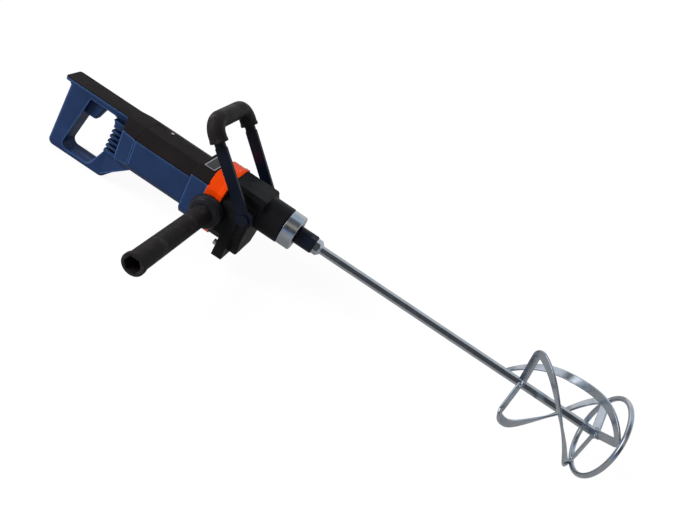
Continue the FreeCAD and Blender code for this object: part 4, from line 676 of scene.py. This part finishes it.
def strip_point(k, along, radius):
    """A point of blade k in space, and its angle round the shaft."""
    share = along / BLADE_LENGTH
    angle = joint_angle(k) - BLADE_TURN + BLADE_TURN * share
    x = SIZES["start"] + BLADE_SPAN * share + BLADE_LEAD * math.sin(math.pi * share)
    if along < BLADE_BEND:
        x += (SIZES["top_hub"] - SIZES["start"]) * (1 - radius / SIZES["mean"])
    elif along > BLADE_LENGTH - BLADE_BEND:
        x += (SIZES["low_hub"] - SIZES["end"]) * (1 - radius / SIZES["mean"])
    return Vector((x, radius * math.cos(angle), radius * math.sin(angle))), angle


def strip_outline():
    """A blade's cross section with round corners, as (across the strip, through it)."""
    outline = []
    for quarter, (side, face) in enumerate(((1, 1), (-1, 1), (-1, -1), (1, -1))):
        for step in range(CORNER_STEPS + 1):
            turn = math.pi / 2 * (quarter + step / CORNER_STEPS)
            outline.append((side * (BLADE_WIDTH / 2 - BLADE_CORNER) + BLADE_CORNER * math.cos(turn),
                            face * (BLADE_THICKNESS / 2 - BLADE_CORNER) + BLADE_CORNER * math.sin(turn)))
    return outline


def tube_mesh(name, loops, closed):
    """A skin over a row of point loops, joined end to end if closed and capped if not."""
    count = len(loops[0])
    points = [point for loop in loops for point in loop]
    faces = []
    for row in range(len(loops) if closed else len(loops) - 1):
        here = row * count
        there = (row + 1) % len(loops) * count
        for step in range(count):
            after = (step + 1) % count
            faces.append((here + step, here + after, there + after, there + step))
    if not closed:
        faces.append(tuple(reversed(range(count))))
        faces.append(tuple(range(len(points) - count, len(points))))
    mesh = bpy.data.meshes.new(name)
    mesh.from_pydata(points, [], faces)
    shape = bmesh.new()
    shape.from_mesh(mesh)
    bmesh.ops.recalc_face_normals(shape, faces=shape.faces)
    shape.to_mesh(mesh)
    shape.free()
    smooth(mesh)
    return mesh


def blade(k):
    path = [strip_point(k, along, radius) for along, radius in strip_path()]
    outline = strip_outline()
    loops = []
    for step, (point, angle) in enumerate(path):
        way = path[min(step + 1, len(path) - 1)][0] - path[max(step - 1, 0)][0]
        way.normalize()
        outward = Vector((0, math.cos(angle), math.sin(angle)))
        turn = Vector((0, -math.sin(angle), math.cos(angle)))
        run = Vector((math.cos(BLADE_STEEPNESS), 0, 0)) + turn * math.sin(BLADE_STEEPNESS)
        normal = run.cross(outward)
        normal = (normal - way * normal.dot(way)).normalized()
        side = way.cross(normal)
        loops.append([point + side * across + normal * through for across, through in outline])
    node = f"paddle_blade_{k + 1}"
    weighted(piece(node + "_look", tube_mesh(node, loops, False), node, [node]))


def ring():
    loops = []
    for step in range(RING_STEPS):
        angle = 2 * math.pi * step / RING_STEPS
        outward = Vector((0, math.cos(angle), math.sin(angle)))
        loop = []
        for part in range(WIRE_STEPS):
            turn = 2 * math.pi * part / WIRE_STEPS
            radius = SIZES["ring_radius"] + SIZES["wire"] * math.cos(turn)
            loop.append(outward * radius + Vector((SIZES["ring_x"] + SIZES["wire"] * math.sin(turn), 0, 0)))
        loops.append(loop)
    piece("paddle_ring_look", tube_mesh("paddle_ring", loops, True), "paddle_ring", ["paddle_ring"])


def bead(name, path, thickness, closed):
    """A rippled weld bead along a row of points, on the paddle's shaft or ring."""
    loops = []
    count = len(path)
    for step, point in enumerate(path):
        if closed:
            way = path[(step + 1) % count] - path[step - 1]
            swell = 1.0
        else:
            way = path[min(step + 1, count - 1)] - path[max(step - 1, 0)]
            swell = math.sqrt(max(BEAD_END_SHARE, math.sin(math.pi * step / (count - 1))))
        quick = math.sin(BEAD_WAVES * step)
        slow = math.sin(SLOW_WAVES_START + SLOW_WAVES_SHARE * BEAD_WAVES * step)
        swell *= 1 + BEAD_RIPPLE * quick + BEAD_RIPPLE * slow
        way.normalize()
        across = way.cross(BEAD_ASIDE).normalized()
        other = way.cross(across)
        loop = []
        for part in range(BEAD_STEPS):
            turn = 2 * math.pi * part / BEAD_STEPS
            loop.append(point + (across * math.cos(turn) + other * math.sin(turn)) * thickness * swell)
        loops.append(loop)
    piece(name, tube_mesh(name, loops, closed), "paddle_shaft", [])


def beads():
    """Welds round the shaft at both hubs, and where each blade meets the ring."""
    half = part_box("paddle_shaft")[1].y
    for name, x in (("weld_top_hub", SIZES["top_hub"]), ("weld_low_hub", SIZES["low_hub"])):
        turns = [2 * math.pi * step / HUB_BEAD_STEPS for step in range(HUB_BEAD_STEPS)]
        path = [Vector((x, half * math.cos(turn), half * math.sin(turn))) for turn in turns]
        bead(name, path, HUB_BEAD, True)
    for k in range(BLADE_COUNT):
        path = []
        radius = SIZES["ring_radius"] - RING_BEAD / 2
        for step in range(RING_BEAD_STEPS + 1):
            share = 2 * step / RING_BEAD_STEPS - 1
            angle = joint_angle(k) + RING_BEAD_REACH * share / SIZES["ring_radius"]
            x = SIZES["end"] + RING_BEAD / 2
            path.append(Vector((x, radius * math.cos(angle), radius * math.sin(angle))))
        bead(f"weld_ring_{k + 1}", path, RING_BEAD, False)


# Stage

def make_camera():
    data = bpy.data.cameras.new("photo_camera")
    data.lens = LENS_MM
    data.sensor_width = SENSOR_MM
    camera = bpy.data.objects.new("photo_camera", data)
    turn = Matrix((CAMERA_RIGHT, CAMERA_UP, CAMERA_RIGHT.cross(CAMERA_UP))).transposed()
    camera.matrix_world = Matrix.Translation(CAMERA_PLACE) @ turn.to_4x4()
    SCENE.collection.objects.link(camera)
    SCENE.camera = camera


def seen_directly(tree, camera_share, mirror_share):
    """Shares for what the camera sees and for what mirrors and glass show, and 0 for light on the object."""
    path = tree.nodes.new("ShaderNodeLightPath")
    total = None
    for name, share in (("Is Camera Ray", camera_share), ("Is Glossy Ray", mirror_share),
                        ("Is Transmission Ray", mirror_share)):
        part = tree.nodes.new("ShaderNodeMath")
        part.operation = "MULTIPLY"
        part.inputs[1].default_value = share
        tree.links.new(path.outputs[name], part.inputs[0])
        if total is not None:
            larger = tree.nodes.new("ShaderNodeMath")
            larger.operation = "MAXIMUM"
            tree.links.new(total, larger.inputs[0])
            tree.links.new(part.outputs["Value"], larger.inputs[1])
            part = larger
        total = part.outputs["Value"]
    return total


def mixed(tree, factor, first, second):
    """A colour between two, each one a plain colour or another node's output."""
    made = tree.nodes.new("ShaderNodeMix")
    made.data_type = "RGBA"
    tree.links.new(factor, made.inputs[0])
    sockets = [socket for socket in made.inputs if socket.type == "RGBA"]
    for value, socket in zip((first, second), sockets):
        if isinstance(value, bpy.types.NodeSocket):
            tree.links.new(value, socket)
        else:
            socket.default_value = value
    return [socket for socket in made.outputs if socket.type == "RGBA"][0]


def turned_to(tree, way, aim, reach):
    """From 0 to 1 as a direction turns towards an aim."""
    match = tree.nodes.new("ShaderNodeVectorMath")
    match.operation = "DOT_PRODUCT"
    match.inputs[1].default_value = aim.normalized()
    tree.links.new(way, match.inputs[0])
    share = tree.nodes.new("ShaderNodeMapRange")
    share.interpolation_type = "SMOOTHSTEP"
    share.inputs["From Min"].default_value = reach[0]
    share.inputs["From Max"].default_value = reach[1]
    tree.links.new(match.outputs["Value"], share.inputs["Value"])
    return share.outputs["Result"]


def make_world():
    """White to the camera, dim light all round, and for shiny surfaces a pale backdrop and a darker room."""
    world = bpy.data.worlds.new("studio")
    world.use_nodes = True
    tree = world.node_tree
    way = tree.nodes.new("ShaderNodeTexCoord").outputs["Generated"]
    axes = tree.nodes.new("ShaderNodeSeparateXYZ")
    tree.links.new(way, axes.inputs["Vector"])
    towards = tree.nodes.new("ShaderNodeMath")
    towards.operation = "MULTIPLY"
    towards.inputs[1].default_value = -1.0
    tree.links.new(axes.outputs["Y"], towards.inputs[0])
    angle = tree.nodes.new("ShaderNodeMath")
    angle.operation = "ARCTAN2"
    tree.links.new(axes.outputs["Z"], angle.inputs[0])
    tree.links.new(towards.outputs["Value"], angle.inputs[1])
    turn = tree.nodes.new("ShaderNodeMapRange")
    turn.inputs["From Min"].default_value = 0.0
    turn.inputs["From Max"].default_value = math.radians(ROOM_TURN_DEG)
    tree.links.new(angle.outputs["Value"], turn.inputs["Value"])
    bands = tree.nodes.new("ShaderNodeValToRGB")
    for spot, (degrees, colour) in enumerate(ROOM_BANDS):
        place = degrees / ROOM_TURN_DEG
        marks = bands.color_ramp.elements
        mark = marks[spot] if spot < len(marks) else marks.new(place)
        mark.position = place
        mark.color = colour
    tree.links.new(turn.outputs["Result"], bands.inputs["Fac"])
    room = bands.outputs["Color"]
    for aim, colour in WINDOWS:
        room = mixed(tree, turned_to(tree, way, aim, WINDOW_REACH), room, colour)
    path = tree.nodes.new("ShaderNodeLightPath")
    shown = mixed(tree, path.outputs["Is Camera Ray"], room, WHITE)
    dim = (ROOM_LEVEL, ROOM_LEVEL, ROOM_LEVEL, 1.0)
    light = mixed(tree, seen_directly(tree, 1.0, 1.0), dim, shown)
    tree.links.new(light, tree.nodes["Background"].inputs["Color"])
    SCENE.world = world


def make_floor():
    half = FLOOR_SIZE / 2
    z = CAD_LOW.z - FLOOR_DROP
    mesh = bpy.data.meshes.new("floor")
    corners = [(-half, -half, z), (half, -half, z), (half, half, z), (-half, half, z)]
    mesh.from_pydata(corners, [], [(0, 1, 2, 3)])
    floor = bpy.data.objects.new("floor", mesh)
    SCENE.collection.objects.link(floor)
    material = bpy.data.materials.new("floor")
    material.use_nodes = True
    tree = material.node_tree
    matte = tree.nodes["Principled BSDF"]
    matte.inputs["Base Color"].default_value = FLOOR_SHADE
    matte.inputs["Roughness"].default_value = FLOOR_ROUGHNESS
    matte.inputs["Specular IOR Level"].default_value = 0.0
    glow = tree.nodes.new("ShaderNodeEmission")
    glow.inputs["Strength"].default_value = FLOOR_GLOW
    mix = tree.nodes.new("ShaderNodeMixShader")
    tree.links.new(seen_directly(tree, FLOOR_GLOW_SHARE, FLOOR_MIRROR_SHARE), mix.inputs["Fac"])
    tree.links.new(matte.outputs["BSDF"], mix.inputs[1])
    tree.links.new(glow.outputs["Emission"], mix.inputs[2])
    tree.links.new(mix.outputs["Shader"], tree.nodes["Material Output"].inputs["Surface"])
    mesh.materials.append(material)


def make_lamp(name, source, level, spread_deg):
    """A soft lamp that mirrors don't show, because they show the room's windows."""
    data = bpy.data.lights.new(name, "SUN")
    data.energy = level
    data.angle = math.radians(spread_deg)
    lamp = bpy.data.objects.new(name, data)
    lamp.location = source
    lamp.rotation_mode = "QUATERNION"
    lamp.rotation_quaternion = source.to_track_quat("Z", "Y")
    lamp.visible_glossy = False
    SCENE.collection.objects.link(lamp)


paint_frame()
shell_pieces()
trigger_spring()
for number in range(BLADE_COUNT):
    blade(number)
ring()
beads()
make_camera()
make_world()
make_floor()
make_lamp("key", KEY_FROM, KEY_LEVEL, KEY_SPREAD_DEG)
make_lamp("rim", RIM_FROM, RIM_LEVEL, RIM_SPREAD_DEG)
SCENE.view_settings.view_transform = "Standard"
